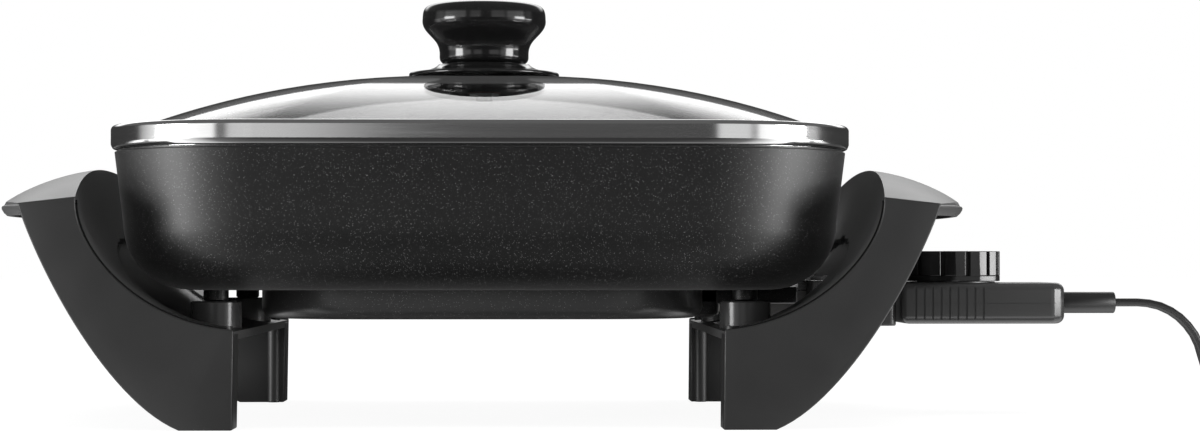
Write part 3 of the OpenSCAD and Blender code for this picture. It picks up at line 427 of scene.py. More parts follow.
def node_tree(name, inputs):
    """A tree with its input and output nodes and one named input for each size."""
    tree = bpy.data.node_groups.new(name, "GeometryNodeTree")
    tree.interface.new_socket("Geometry", in_out="INPUT", socket_type="NodeSocketGeometry")
    for label, kind in inputs:
        tree.interface.new_socket(label, in_out="INPUT", socket_type="NodeSocket" + kind)
    tree.interface.new_socket("Geometry", in_out="OUTPUT", socket_type="NodeSocketGeometry")
    return tree, tree.nodes.new("NodeGroupInput"), tree.nodes.new("NodeGroupOutput")


def chain(tree, socket, *steps):
    """Links steps of (node type, settings, input values) one after the other."""
    for kind, settings, values in steps:
        node = tree.nodes.new(kind)
        for key, value in settings.items():
            setattr(node, key, value)
        for key, value in values.items():
            if isinstance(value, bpy.types.NodeSocket):
                tree.links.new(value, node.inputs[key])
            else:
                node.inputs[key].default_value = value
        if socket is not None:
            tree.links.new(socket, node.inputs[0])
        socket = node.outputs[0]
    return socket


def sweep_tree(name, path_kind):
    """Sweeps a profile object along a rounded rectangle, a circle or the object's own line."""
    lengths = {"rectangle": ["Length", "Depth", "Corner"], "circle": ["Radius"], "line": []}
    tree, start, end = node_tree(name, [("Profile", "Object"), ("Finish", "Material")] + [
        (length, "Float") for length in lengths[path_kind] + ["Height"]])
    read = start.outputs
    if path_kind == "rectangle":
        path = chain(tree, None,
                     ("GeometryNodeCurvePrimitiveQuadrilateral", {"mode": "RECTANGLE"},
                      {"Width": read["Length"], "Height": read["Depth"]}),
                     ("GeometryNodeFilletCurve", {"mode": "POLY"},
                      {"Radius": read["Corner"], "Count": 22}))
    elif path_kind == "circle":
        path = chain(tree, None, ("GeometryNodeCurvePrimitiveCircle", {},
                                  {"Resolution": 120, "Radius": read["Radius"]}))
    else:
        path = read["Geometry"]
    profile = chain(tree, read["Profile"], ("GeometryNodeObjectInfo", {}, {}))
    profile = profile.node.outputs["Geometry"]
    lift = tree.nodes.new("ShaderNodeCombineXYZ")
    tree.links.new(read["Height"], lift.inputs["Z"])
    done = chain(tree, path,
                 ("GeometryNodeCurveToMesh", {},
                  {"Profile Curve": profile, "Fill Caps": path_kind == "line"}),
                 ("GeometryNodeTransform", {}, {"Translation": lift.outputs[0]}),
                 ("GeometryNodeMergeByDistance", {}, {"Distance": 1e-6}),
                 ("GeometryNodeRealizeInstances", {}, {}),
                 ("GeometryNodeSetMaterial", {}, {"Material": read["Finish"]}))
    tree.links.new(done, end.inputs[0])
    return tree


def row_tree(name):
    """Equal blocks in a straight row."""
    tree, start, end = node_tree(name, [("Count", "Int"), ("First", "Vector"), ("Step", "Vector"),
                                        ("Size", "Vector"), ("Finish", "Material")])
    read = start.outputs
    block_mesh = chain(tree, None, ("GeometryNodeMeshCube", {}, {"Size": read["Size"]}))
    done = chain(tree, None,
                 ("GeometryNodeMeshLine", {"mode": "OFFSET"},
                  {"Count": read["Count"], "Start Location": read["First"],
                   "Offset": read["Step"]}),
                 ("GeometryNodeInstanceOnPoints", {}, {"Instance": block_mesh}),
                 ("GeometryNodeRealizeInstances", {}, {}),
                 ("GeometryNodeSetMaterial", {}, {"Material": read["Finish"]}))
    tree.links.new(done, end.inputs[0])
    return tree


def spokes_tree(name):
    """Equal blocks round a circle, each pointing outwards."""
    tree, start, end = node_tree(name, [("Count", "Int"), ("Radius", "Float"), ("Size", "Vector"),
                                        ("Place", "Vector"), ("Finish", "Material")])
    read = start.outputs
    block_mesh = chain(tree, None, ("GeometryNodeMeshCube", {}, {"Size": read["Size"]}))
    outwards = chain(tree, None, ("GeometryNodeInputPosition", {}, {}),
                     ("ShaderNodeVectorMath", {"operation": "NORMALIZE"}, {}))
    turn = chain(tree, None,
                 ("FunctionNodeAlignEulerToVector", {"axis": "X"}, {"Vector": outwards}))
    done = chain(tree, None,
                 ("GeometryNodeMeshCircle", {},
                  {"Vertices": read["Count"], "Radius": read["Radius"]}),
                 ("GeometryNodeInstanceOnPoints", {}, {"Instance": block_mesh, "Rotation": turn}),
                 ("GeometryNodeTransform", {}, {"Translation": read["Place"]}),
                 ("GeometryNodeRealizeInstances", {}, {}),
                 ("GeometryNodeSetMaterial", {}, {"Material": read["Finish"]}))
    tree.links.new(done, end.inputs[0])
    return tree


RECTANGLE, CIRCLE, LINE = (sweep_tree("sweep_" + kind, kind)
                           for kind in ("rectangle", "circle", "line"))
ROW, SPOKES = row_tree("row_of_blocks"), spokes_tree("spokes")


def line_object(name, points, closed=False):
    curve = bpy.data.curves.new(name, "CURVE")
    curve.dimensions, curve.twist_mode = "3D", "Z_UP"
    spline = curve.splines.new("POLY")
    spline.points.add(len(points) - 1)
    spline.use_cyclic_u = closed
    for point, co in zip(spline.points, points):
        point.co = (*[c * MM for c in co], 1)
    obj = bpy.data.objects.new(name, curve)
    scene.collection.objects.link(obj)
    return obj


def grown(name, tree, line, values):
    """What a tree makes of a line when its inputs have these values, as a plain mesh."""
    host = line_object(name + "_host", line)
    modifier = host.modifiers.new("nodes", "NODES")
    modifier.node_group = tree
    for item in tree.interface.items_tree:
        if item.in_out == "INPUT" and item.name in values:
            modifier[item.identifier] = values[item.name]
    return baked(host, name)


ANY_LINE = [(0, 0, 0), (1, 0, 0)]


def swept(name, tree, profile, slot, path=None, sharp=32, x=0.0, **sizes):
    """Runs a sweep tree. The profile is (outwards, up) in mm, closed, and sizes are in mm."""
    section = line_object(name + "_profile", [(u, -v, 0) for u, v in profile], True)
    lengths = {k: v * MM for k, v in sizes.items()}
    obj = grown(name, tree, path or ANY_LINE,
                {"Profile": section, "Finish": FINISHES[slot], **lengths})
    bpy.data.objects.remove(section)
    for vertex in obj.data.vertices:
        vertex.co.x += x * MM
    refine(obj.data, sharp)
    return obj


def repeated(name, tree, material, count, **sizes):
    """The blocks of a tree as one mesh, with all sizes in mm."""
    lengths = {k: Vector(v) * MM if isinstance(v, tuple) else v * MM for k, v in sizes.items()}
    return grown(name, tree, ANY_LINE, {"Count": count, "Finish": material, **lengths})


# ---- Cord ----

# The cord, in the frame itself: out of the strain relief, down to the counter and flat on it
LEAD = [
    (300.015, 0, 60.5), (307, 0, 60.5), (313, 0, 60.5), (319, 0, 60), (325.3, 0, 58.5),
    (331, 0, 55.9), (336.1, 0, 52.4), (340.5, 0, 48), (344.2, 0, 42.9), (346.8, 0, 37.5),
    (348.5, 0, 31.7), (350.2, 0, 26), (352.8, 0, 20.7), (356.4, 0, 15.7), (360.9, 0, 11.2),
    (366, 0, 7.6), (371.7, 0, 4.9), (377.8, 0, 3.2), (384, 0, 2.7), (391, 0, 2.7), (398, 0, 2.7),
    (405, 0, 2.7),
]
TAIL = [
    (434, -17.2, 3.6), (438, -17.2, 5.2), (443, -17.2, 8), (448, -17.2, 10.6), (452, -17.2, 11.9),
    (456, -17.2, 12.3),
]
COIL_X, COIL_Y, COIL_R, TURNS, PITCH, COIL_STEPS = 430, -56, 56, 2, 8.6, 64
LYING_Z = 2.7  # middle of the cord where it lies on the counter
CORE, CORE_R = 2.0, 2.2  # the two conductors' distance from the middle, and their radius


def coil_points():
    """Flat turns that run inwards, from and to the +Y side of the coil."""
    out = []
    for i in range(COIL_STEPS * TURNS + 1):
        t = i / COIL_STEPS
        a, r = math.tau * t, COIL_R - PITCH * t
        out.append((COIL_X + r * math.sin(a), COIL_Y + r * math.cos(a), LYING_Z))
    return out


route = LEAD + [(412, 0, LYING_Z), (420, 0, LYING_Z)] + coil_points() + TAIL
lobe = [(CORE + CORE_R * math.cos(math.radians(a)), CORE_R * math.sin(math.radians(a)))
        for a in range(-150, 151, 20)]
figure_eight = lobe + [(-u, v) for u, v in lobe[::-1]]
cord = swept("mains_cord", LINE, figure_eight, "cord_rubber", path=route, sharp=60, Height=0)
fitted(cord, "cord_rubber", "heat_control", "cord", "cord_coil")
[[c * MM for c in p] for p in route]


# ---- Pan ----

PAN_L, PAN_D, PAN_Z, PAN_H, PAN_CORNER = 377.2, 301, 68.3, 71.7, 78.7
PAN_WALL, PAN_FLOOR, FILLET, DRAFT = 3.5, 4.2, 34, 8.6
RIM_R = 0.9
UNDER_PAN = PAN_Z + 1  # top of what grows out of the pan's underside
RIB_L, RIB_D, RIB_CORNER, RIB_HALF, RIB_Z, RIB_TOP, RIB_R = 217, 158, 51, 9, 53, 69, 6.5
GUARD_X, GUARD_BLOCK_END, GUARD_END, GUARD_HALF, GUARD_WALL = 110, 126, 168, 34, 4
GUARD_BLOCK_Z, GUARD_WALL_Z = 54.2, 60.3
WELL_X, WELL_HALF, WELL_Z = 74, 7.2, 52.82
STUD_X, STUD_Y, STUD_Z = 136.6, 75, 62.4
STUD_LINE = [(2.5, 0), (5.7, 0), (6.5, 0.8), (6.5, 6.9), (2.5, 6.9)]
FILLET_STEPS, RIB_STEPS = 12, 6


def wall_inset(z):
    return DRAFT * (1 - z / PAN_H)


def pan_ring(inset, z):
    return ring(PAN_L - 2 * inset, PAN_D - 2 * inset, PAN_CORNER - inset, PAN_Z + z)


def fillet_rings(inset, r, floor_z):
    return [pan_ring(inset + r * (1 - math.sin(a)), floor_z + r * (1 - math.cos(a)))
            for a in (math.radians(90 * i / FILLET_STEPS) for i in range(FILLET_STEPS + 1))]


inner_inset = wall_inset(FILLET + PAN_FLOOR - PAN_WALL) + PAN_WALL
# The wall turns in under the band, so that a dark line shows between them
rim_groove = [(0, -1.5), (0.15, -1.2), (0.4, -1.05), (1.3, -1), (1.5, -0.9), (1.5, -0.15), (1.6, 0)]
rim = [pan_ring(inset, PAN_H + z) for inset, z in rim_groove]
rim_inside = [pan_ring(PAN_WALL - RIM_R + RIM_R * math.sin(a), PAN_H - RIM_R + RIM_R * math.cos(a))
              for a in (math.radians(30 * i) for i in range(4))]
shell = shape("shell", *skin(fillet_rings(wall_inset(FILLET), FILLET, 0) + rim + rim_inside
                             + fillet_rings(inner_inset, FILLET - PAN_WALL, PAN_FLOOR)[::-1]))


def rib_profile(half_width, low, high, radius):
    """A rib with rounded lower edges."""
    points = [(half_width, high), (-half_width, high)]
    for side in (-1, 1):
        for i in range(RIB_STEPS + 1):
            a = math.radians((180 if side < 0 else 270) + 90 * i / RIB_STEPS)
            points.append((side * (half_width - radius) + radius * math.cos(a),
                           low + radius + radius * math.sin(a)))
    return points


rib = swept("rib", RECTANGLE, rib_profile(RIB_HALF, RIB_Z, RIB_TOP, RIB_R), "pan_coating", x=PAN_X,
            Length=RIB_L, Depth=RIB_D, Corner=RIB_CORNER, Height=0)
guard_block = block("guard_block", GUARD_X, GUARD_BLOCK_END, -GUARD_HALF, GUARD_HALF,
                    GUARD_BLOCK_Z, UNDER_PAN, 1.6)
guard_walls = [block("guard_wall", GUARD_X, GUARD_END, y, y + GUARD_WALL,
                     GUARD_WALL_Z, UNDER_PAN, 1.2)
               for y in (-GUARD_HALF, GUARD_HALF - GUARD_WALL)]
well = block("well", WELL_X, GUARD_BLOCK_END, -WELL_HALF, WELL_HALF, WELL_Z, UNDER_PAN, 1.5)
studs = [turned("stud", STUD_LINE, x, y, STUD_Z, 40)
         for x in (-STUD_X, STUD_X) for y in (-STUD_Y, STUD_Y)]
pan = joined("pan_body", shell, guard_block, well, *guard_walls, *studs)
fitted(pan, "pan_coating", "skillet", "pan")


# ---- Handles ----

GRIP_X, GRIP_Z, GRIP_BOW, GRIP_CROWN = 226.7, 114.5, 29.4, 17.8
LEG_X, FOOT, LEG_DEPTH, PLATE, HALF = 120.3, 26, 23, 3.5, 146
WEB_Z, LEG_WALL = 49.2, 3.2
PLATE_INNER = [(GRIP_X - 28.5, GRIP_Z), (GRIP_X - 26, 92), (169.5, 52.5), (LEG_X, WEB_Z)]
PLATE_OUTER = [(LEG_X + FOOT, 0), (183.5, 15.4), (GRIP_X - 8, 85), (GRIP_X, GRIP_Z - 3.2)]
SPAN = HALF - PLATE - 0.5
SKIN, LIP = 4.2, 5.4  # thickness of grip and web, and drop of the lip
RECESS_HALF, RECESS_BOTTOM, RECESS_TURN, RECESS_TOP = 97, 53, 60, 96
RECESS_DEPTH, RECESS_EDGE, RECESS_FOOT = 2.4, 7, 3  # depth, and how wide its soft edges are
OPENING = (127.3, 230, -36, 36, 39.5, 75.65)  # of the right handle, for the heat control
OPENING_R = 4
RIGHT_LEAN, LEFT_LEAN = 0.01, -0.014  # how far the handles lean outwards for each mm of height
CROWN_POWER = 2.2
HOLLOW_TOP, LEG_RIB_X = 39, LEG_X + 6
LEG_RIB_LINE = [(0.01, 0), (3.2, 0), (3.7, 0.5), (3.7, 50.5), (0.01, 50.5)]
# Inset and section of the dark bead along the plates' inner edges, which is a painted shadow line
SHADOW_BEAD_INSET, SHADOW_BEAD_LINE = 1.9, [(-1.1, -0.35), (1.1, -0.35), (1.1, 0.35), (-1.1, 0.35)]
WEB_STEPS, GRIP_STEPS, PLATE_STEPS = 64, 14, 28
LIP_NOSE = [(1.6, 0.1), (0.5, 0.5), (0.1, 1.2), (0.35, 2.2), (1.6, 4.0), (2.9, 5)]
BOSS_LINE = [(2.8, 10.4), (6.6, 10.4), (6.6, 0.3), (6.9, 0), (12.2, 0), (13.2, 1), (13.2, 18.2),
             (12.5, 18.9), (2.8, 18.9)]
BOSS_Z = 43.5


def crown(y):
    """1 in the middle of a handle and 0 at its plates."""
    return 1 - min(1, abs(y) / SPAN) ** CROWN_POWER


def recess(y, z):
    """Depth of the shallow arched recess in the web, with soft edges."""
    s = max(0, z - RECESS_TURN) / (RECESS_TOP - RECESS_TURN)
    width = RECESS_HALF * math.sqrt(max(0, 1 - s * s))
    edge = min(1, max(0, (width - abs(y)) / RECESS_EDGE))
    foot = min(1, max(0, (z - RECESS_BOTTOM) / RECESS_FOOT))
    return RECESS_DEPTH * foot * edge * edge * (3 - 2 * edge)


def handle_section(y):
    """One slice: up the web, out over the grip, down the lip and back underneath."""
    c = crown(y)
    crest = (PLATE_INNER[0][0] + 7.5 * c, PLATE_INNER[0][1] - 0.6 + (GRIP_CROWN + 0.6) * c)
    tip = (PLATE_OUTER[3][0] - 2 + (GRIP_BOW + 2) * c, PLATE_OUTER[3][1] - 0.6 + 1.4 * c)
    web = bezier([crest, (PLATE_INNER[1][0] + 1.5 * c, PLATE_INNER[1][1]), *PLATE_INNER[2:]],
                 WEB_STEPS)[::-1]
    web = moved(web, [1 + recess(y, p[1]) for p in web])
    run = (tip[0] - crest[0], tip[1] - crest[1])
    grip = bezier([crest, (crest[0] + 0.33 * run[0], crest[1] + 0.33 * run[1] + 5.4 * c),
                   (crest[0] + 0.76 * run[0], crest[1] + 0.76 * run[1] + 6 * c), tip], GRIP_STEPS)
    under, behind = moved(grip, SKIN), moved(web, SKIN)
    lip = [(tip[0] - 3, tip[1] - LIP), (tip[0] - 6, tip[1] - LIP)]
    nose = [(tip[0] - 0.9 * u, tip[1] - v) for u, v in LIP_NOSE]
    return web + grip[1:-1] + nose + lip + under[3:-1][::-1] + behind[:-1][::-1]


def leaned(points, lean):
    return [(x + lean * z, z) for x, z in points]


def on_side(side, a, b):
    """The stretch from a to b along Y, or its mirror image on the -Y side."""
    return (a, b) if side > 0 else (-b, -a)


def handle(name, lean, opening):
    """The plates and legs of a handle as one piece, and its web and grip as another."""
    half_ys = [*range(0, 90, 2), *range(90, 99), 100, 106, 112, 120, 128, 136, 140, SPAN,
               HALF - PLATE / 2]
    ys = sorted({s * y for s in (-1, 1) for y in half_ys})
    sections = [[(x, y, z) for x, z in leaned(handle_section(y), lean)] for y in ys]
    web = shape(name + "_web", *skin(sections), sharp=28)
    parts = []
    edge = bezier(PLATE_OUTER, PLATE_STEPS)
    outline = bezier(PLATE_INNER, PLATE_STEPS) + [(LEG_X, 0)] + edge
    inside = [p for p in moved(edge, -LEG_WALL) if 0 < p[1] < HOLLOW_TOP]
    leg_top = WEB_Z - 2
    foot = [(LEG_X, leg_top), (LEG_X, 0)] + [p for p in edge if p[1] < leg_top]
    hollow = ([(LEG_X + LEG_WALL, leg_top - LEG_WALL), (LEG_X + LEG_WALL, -1),
               (LEG_X + FOOT - LEG_WALL, -1)] + inside + [(inside[-1][0], leg_top - LEG_WALL)])
    for side in (-1, 1):
        plate = prism("plate", leaned(outline, lean), *on_side(side, HALF - PLATE, HALF))
        parts.append(bevelled(plate, 0.9, 3, 30))
        leg = carved(prism("leg", leaned(foot, lean),
                           *on_side(side, HALF - LEG_DEPTH, HALF - 0.2)),
                     prism("hollow", leaned(hollow, lean),
                           *on_side(side, HALF - LEG_DEPTH + LEG_WALL, HALF - LEG_WALL)))
        parts.append(bevelled(leg, 0.7, 2, 35))
        parts.append(turned("leg_rib", LEG_RIB_LINE, LEG_RIB_X, side * (HALF - LEG_DEPTH), 0, 32))
    if opening:
        web = carved(web, block("cutter", *OPENING, OPENING_R, 4))
    return joined(name, *parts), web


def bosses():
    """The bosses that carry the pan's studs, smoother than the rest of the moulding."""
    return joined("bosses", *[turned("boss", BOSS_LINE, STUD_X, y, BOSS_Z)
                              for y in (-STUD_Y, STUD_Y)])


def seam(lean):
    """A dark bead along the inner edges of a handle's two plates: a painted shadow line where the
    web falls back behind them.
    """
    line = moved(leaned(bezier(PLATE_INNER, 40)[1:-1], lean), 0.3)
    beads = []
    for side in (-1, 1):
        path = [(x + PAN_X, side * (HALF - SHADOW_BEAD_INSET), z) for x, z in line]
        beads.append(swept("bead", LINE, SHADOW_BEAD_LINE, "handle_plastic", path=path, sharp=60,
                           Height=0))
    return joined("seam", *beads)


def mirrored_over(obj):
    """The object on the other side of the pan's middle."""
    for vertex in obj.data.vertices:
        vertex.co.x = 2 * PAN_X * MM - vertex.co.x
    obj.data.flip_normals()
    return obj


right_sides, right_web = handle("handle_right", RIGHT_LEAN, True)
left_sides, left_web = (mirrored_over(piece) for piece in handle("handle_left", LEFT_LEAN, False))
fitted(right_sides, "handle_plastic", "skillet", "right_handle")
fitted(left_sides, "handle_plastic", "skillet", "left_handle")
for name, piece, material in (
    ("web_right", right_web, WEB_PAINTED_LIGHT), ("web_left", left_web, WEB_PAINTED_LIGHT), ("heater_rib", rib, RIB_PAINTED_LIGHT),
    ("seam_right", seam(RIGHT_LEAN), PAINTED_SHADOW), ("seam_left", mirrored_over(seam(LEFT_LEAN)), PAINTED_SHADOW),
    ("bosses_right", bosses(), BOSS_PAINTED_LIGHT), ("bosses_left", mirrored_over(bosses()), BOSS_PAINTED_LIGHT),
):
    piece.name = name
    fitted(piece, "pan_coating" if piece is rib else "handle_plastic", "skillet", material=material)


# ---- Lid ----

BAND_L, BAND_D, BAND_CORNER, BAND_Z = 381, 304.8, 80.6, 140.3
GLASS_L, GLASS_D, GLASS_CORNER, GLASS_THICK, KNOB_HOLE = 371, 294.8, 75.6, 4, 4.05
GLASS_EDGE, GLASS_RISE, GLASS_FLAT, GLASS_POWER = 151.3, 31.9, 0.953, 2.3
GLASS_STEPS = [0.05, 0.1, 0.16, 0.22, 0.28, 0.34, 0.4, 0.46, 0.52, 0.58, 0.63, 0.68, 0.73, 0.77,
               0.81, 0.845, 0.875, 0.9, 0.92, 0.935, 0.945, GLASS_FLAT, 0.975, 1]
# The band in section, outwards from its outer face and up from its lower edge: outside, then inside
BAND_LINE = [
    (-9.5, 12), (-2.6, 12), (-1.6, 11.85), (-0.8, 11.4), (-0.25, 10.7), (0, 9.9), (0, 9.5),
    (0, 2.9), (0, 2.5), (-0.3, 1.6), (-0.8, 0.6), (-1.1, 0.2), (-1.4, 0), (-7.2, 0), (-7.2, -6),
    (-8, -6), (-8, 0.8), (-1.5, 0.8), (-0.8, 2.8), (-0.8, 9.8), (-1.4, 10.8), (-2.6, 11.25),
    (-9.5, 11.25),
]


def glass_height(t):
    """Height of the dome's top at a share of the way out, flat where the band holds it."""
    return GLASS_EDGE + GLASS_RISE * (1 - min(1, t / GLASS_FLAT) ** GLASS_POWER)


def glass_rings(drop):
    rings = [ring(t * GLASS_L, t * GLASS_D, t * GLASS_CORNER, glass_height(t) - drop)
             for t in GLASS_STEPS]
    hole = [(KNOB_HOLE * x / math.hypot(x, y), KNOB_HOLE * y / math.hypot(x, y),
             GLASS_EDGE + GLASS_RISE - drop) for x, y, z in rings[0]]
    return [hole] + rings


glass = shape("glass_dome", *skin(glass_rings(GLASS_THICK) + glass_rings(0)[::-1], looped=True),
              sharp=60)
fitted(glass, "lid_glass", "lid", "lid_glass")

band = swept("rim_band", RECTANGLE, BAND_LINE, "band_steel", x=PAN_X, sharp=40,
             Length=BAND_L, Depth=BAND_D, Corner=BAND_CORNER, Height=BAND_Z)
fitted(band, "band_steel", "lid", "lid_band")


# ---- Knob ----

KNOB_Z, BASE_H, BASE_R, KNOB_R, NECK_R, KNOB_H = 183.3, 6.9, 40.9, 33.6, 24.2, 32.9
WAIST_H, WIDEST_H, INSERT_R, INSERT_H = 10.5, 25, 5, 14
base_line = (
    [(KNOB_HOLE, 0), (BASE_R - 0.6, 0), (BASE_R, 0.6), (BASE_R, 1.6), (BASE_R - 0.25, 2.1),
     (BASE_R - 0.8, 2.4)]
    + bezier([(BASE_R - 1.6, 2.5), (BASE_R - 9, 3.1), (BASE_R - 14.2, 4.6),
              (BASE_R - 16, BASE_H)], 12)
    + [(KNOB_HOLE, BASE_H)]
)
knob_line = (
    [(INSERT_R, 0), (NECK_R - 3.4, 0)]
    + bezier([(NECK_R - 2.2, 0.6), (NECK_R + 1.8, 2.4), (NECK_R - 1.2, 5.5),
              (NECK_R + 1, WAIST_H)], 14)
    + bezier([(NECK_R + 1, WAIST_H), (NECK_R + 3, 15.5), (KNOB_R + 1.1, 18.5),
              (KNOB_R, WIDEST_H)], 16)[1:]
    + bezier([(KNOB_R, WIDEST_H), (KNOB_R - 0.1, KNOB_H - 1.8), (KNOB_R - 1.6, KNOB_H - 0.1),
              (24, KNOB_H)], 14)[1:]
    + [(12, KNOB_H - 0.2), (0.02, KNOB_H - 0.4), (0.02, INSERT_H), (INSERT_R, INSERT_H)]
)
for name, line, z, node in (("knob_skirt", base_line, KNOB_Z, "knob_base"),
                            ("knob_grip", knob_line, KNOB_Z + BASE_H + 0.05, "knob")):
    piece = swept(name, CIRCLE, [(r - 20, h) for r, h in line], "knob_plastic", x=PAN_X, sharp=50,
                  Radius=20, Height=z)
    fitted(piece, "knob_plastic", "lid", node)


# ---- Heat control ----

BODY_X, BODY_END, BODY_L, BODY_W, BODY_Z, BODY_H, BODY_CORNER = 224.6, 313.6, 89, 60, 49.4, 22.1, 9
MID_X, MID_Z = (BODY_X + BODY_END) / 2, BODY_Z + BODY_H / 2
NOSE_CORNER, EDGE_R, SHELL_WALL = 3, 4.4, 2.2
SNOUT_L, SNOUT_W, SNOUT_X, SNOUT_Z0, SNOUT_Z1 = 48.2, 54, 198.1, 48.25, 72.65
COLLAR_X0, COLLAR_X1, COLLAR_HALF, COLLAR_Z0, COLLAR_Z1 = 216.2, 236.6, 24, 50.6, 70.3
WINDOW = (173, 177.3, -20.2, 20.2, 52.8, 67.2)  # for the nose block
SCREWS, SCREW_HOLE_R, SCREW_HOLE_Z = ((232.6, 22), (302.6, 20)), 2.9, (49, 51.8)
BEARING_R, BEARING_Z = 4.1, (66, 75)
PLINTH_LINE = [(5, 71.45), (24, 71.45), (24, 72), (5, 72)]
PARTING_LINE = [(-0.3, -0.2), (0.5, -0.2), (0.5, 0.2), (-0.3, 0.2)]
DIAL_X, DIAL_Z, DIAL_R, DIAL_H, SLOT = 255.5, 72.2, 27, 16.3, 2.6
RELIEF_R, RELIEF_X0, RELIEF_X1, RELIEF_EDGE = 5.8, 310.4, 345.5, 0.4
RELIEF_HOLE, RELIEF_HOLE_HALF = [(309, 54.6), (315, 54.6), (315, 66.4), (309, 66.4)], 5.9
GROOVES, GROOVE_X, GROOVE_PITCH, GROOVE_SIZE = 9, 232.2, 4.55, (1, 2, 40)
EDGE_STEPS = 9
ROUND_TURNS = [10 * k for k in range(10)]
FACET_TURNS = [0, 5, 10, 15, 41, 51, 61, 71, 81, 90]


def housing_ring(length, depth, corner, inset, z, facet):
    """A rounded rectangle, which may have faceted corners at +X and small ones at -X."""
    points = []
    for q in range(4):
        sx, sy = (1 if q in (0, 3) else -1), (1 if q < 2 else -1)
        turns = FACET_TURNS if facet and sx > 0 else ROUND_TURNS
        turns = [90 - t for t in turns[::-1]] if q in (0, 2) else turns
        r = max((NOSE_CORNER if facet and sx < 0 else corner) - inset, 0.1)
        for t in turns:
            a = math.radians(90 * q + t)
            points.append((sx * (length / 2 - inset - r) + r * math.cos(a),
                           sy * (depth / 2 - inset - r) + r * math.sin(a), z))
    return points


def rounded(name, length, depth, corner, x, z0, z1, radius, facet=False):
    """A box with rounded corners and rounded upper and lower edges."""
    turns = [math.radians(90 * k / EDGE_STEPS) for k in range(EDGE_STEPS + 1)]
    lower = [(radius * (1 - math.sin(a)), z0 + radius * (1 - math.cos(a))) for a in turns]
    rings = [housing_ring(length, depth, corner, inset, z, facet)
             for inset, z in lower + [(inset, z0 + z1 - z) for inset, z in lower[::-1]]]
    return shape(name, *skin(rings), at=(PAN_X + x, 0, 0))


def control_form(name, g):
    """The housing with its collar and snout, shrunk by g on every face."""
    body = rounded(name, BODY_L - 2 * g, BODY_W - 2 * g, BODY_CORNER - g, MID_X,
                   BODY_Z + g, BODY_Z + BODY_H - g, EDGE_R - g, True)
    snout = rounded("snout", SNOUT_L - 2 * g, SNOUT_W - 2 * g, 4, SNOUT_X,
                    SNOUT_Z0 + g, SNOUT_Z1 - g, 1)
    collar = block("collar", COLLAR_X0 - g, COLLAR_X1 + g, g - COLLAR_HALF, COLLAR_HALF - g,
                   COLLAR_Z0 + g, COLLAR_Z1 - g)
    return carved(body, snout, collar, operation="UNION")


def rod(name, radius, x, y, z0, z1):
    return turned(name, [(radius, z0), (radius, z1), (0.01, z1), (0.01, z0)], x, y, 0, 48)


housing = bevelled(control_form("control_housing", 0), 0.5, 2, 60)
grooves = [repeated("grooves", ROW, FINISHES["control_plastic"], GROOVES,
                    First=(PAN_X + GROOVE_X, side * (BODY_W / 2 + 0.3), MID_Z),
                    Step=(GROOVE_PITCH, 0, 0), Size=GROOVE_SIZE) for side in (-1, 1)]
relief_hole = prism("relief_hole", RELIEF_HOLE, -RELIEF_HOLE_HALF, RELIEF_HOLE_HALF)
parting = swept("parting", RECTANGLE, PARTING_LINE, "control_plastic", x=PAN_X + MID_X,
                Length=BODY_L, Depth=BODY_W, Corner=BODY_CORNER, Height=MID_Z)
screw_holes = [rod("hole", SCREW_HOLE_R, x, side * y, *SCREW_HOLE_Z)
               for x, y in SCREWS for side in (-1, 1)]
housing = carved(housing, *grooves, parting, *screw_holes)
housing = carved(housing, control_form("cavity", SHELL_WALL))
housing = carved(housing, relief_hole, rod("bearing", BEARING_R, DIAL_X, 0, *BEARING_Z),
                 block("window", *WINDOW))
refine(housing.data, 12, merge=False)
fitted(housing, "control_plastic", "heat_control", "control_top_shell", "control_bottom_shell")

# The strain relief is turned about an upright axis and then laid along X
relief_line = [
    (0.02, RELIEF_X0), (RELIEF_R - RELIEF_EDGE, RELIEF_X0), (RELIEF_R, RELIEF_X0 + RELIEF_EDGE),
    (RELIEF_R, RELIEF_X1 - RELIEF_EDGE), (RELIEF_R - RELIEF_EDGE, RELIEF_X1), (0.02, RELIEF_X1),
]
relief = turned("relief", relief_line, 0, 0, 0, 48)
for vertex in relief.data.vertices:
    x, y, z = vertex.co
    vertex.co = (PAN_X * MM + z, y, MID_Z * MM - (x - PAN_X * MM))
fitted(bevelled(relief, 0.1, 1, 60), "cord_rubber", "heat_control", "strain_relief")
plinth = turned("dial_plinth", PLINTH_LINE, DIAL_X, 0, 0)
fitted(plinth, "control_plastic", "heat_control")


# ---- Dial ----

SKIRT_H, SIDES, PHASE = 3, 12, 12
MARKS, MARK_RING, MARK_SIZE = 10, 19.5, (3.6, 0.7, 0.1)
INDEX = (225.5, 229.5, -0.45, 0.45, BODY_Z + BODY_H - 0.05, BODY_Z + BODY_H + 0.08)


def dial_outline(slots):
    """Twelve flats with, above the skirt, a slot in the middle of each."""
    points = []
    flat, reach = DIAL_R * math.cos(math.pi / SIDES), DIAL_R * math.sin(math.pi / SIDES)
    line = [(-reach, 0), (-SLOT / 2, 0), (-SLOT / 2, -SLOT), (SLOT / 2, -SLOT), (SLOT / 2, 0)]
    for i in range(SIDES):
        a = math.radians(PHASE + 360 / SIDES * i)
        c, s = math.cos(a), math.sin(a)
        for u, v in line:
            out = flat + (v if slots else 0)
            points.append((c * out - s * u, s * out + c * u))
    return points


def dial_rings(slots, z0, z1):
    outline = dial_outline(slots)
    return [[(x, y, z) for x, y in outline] for z in (z0, z1)]


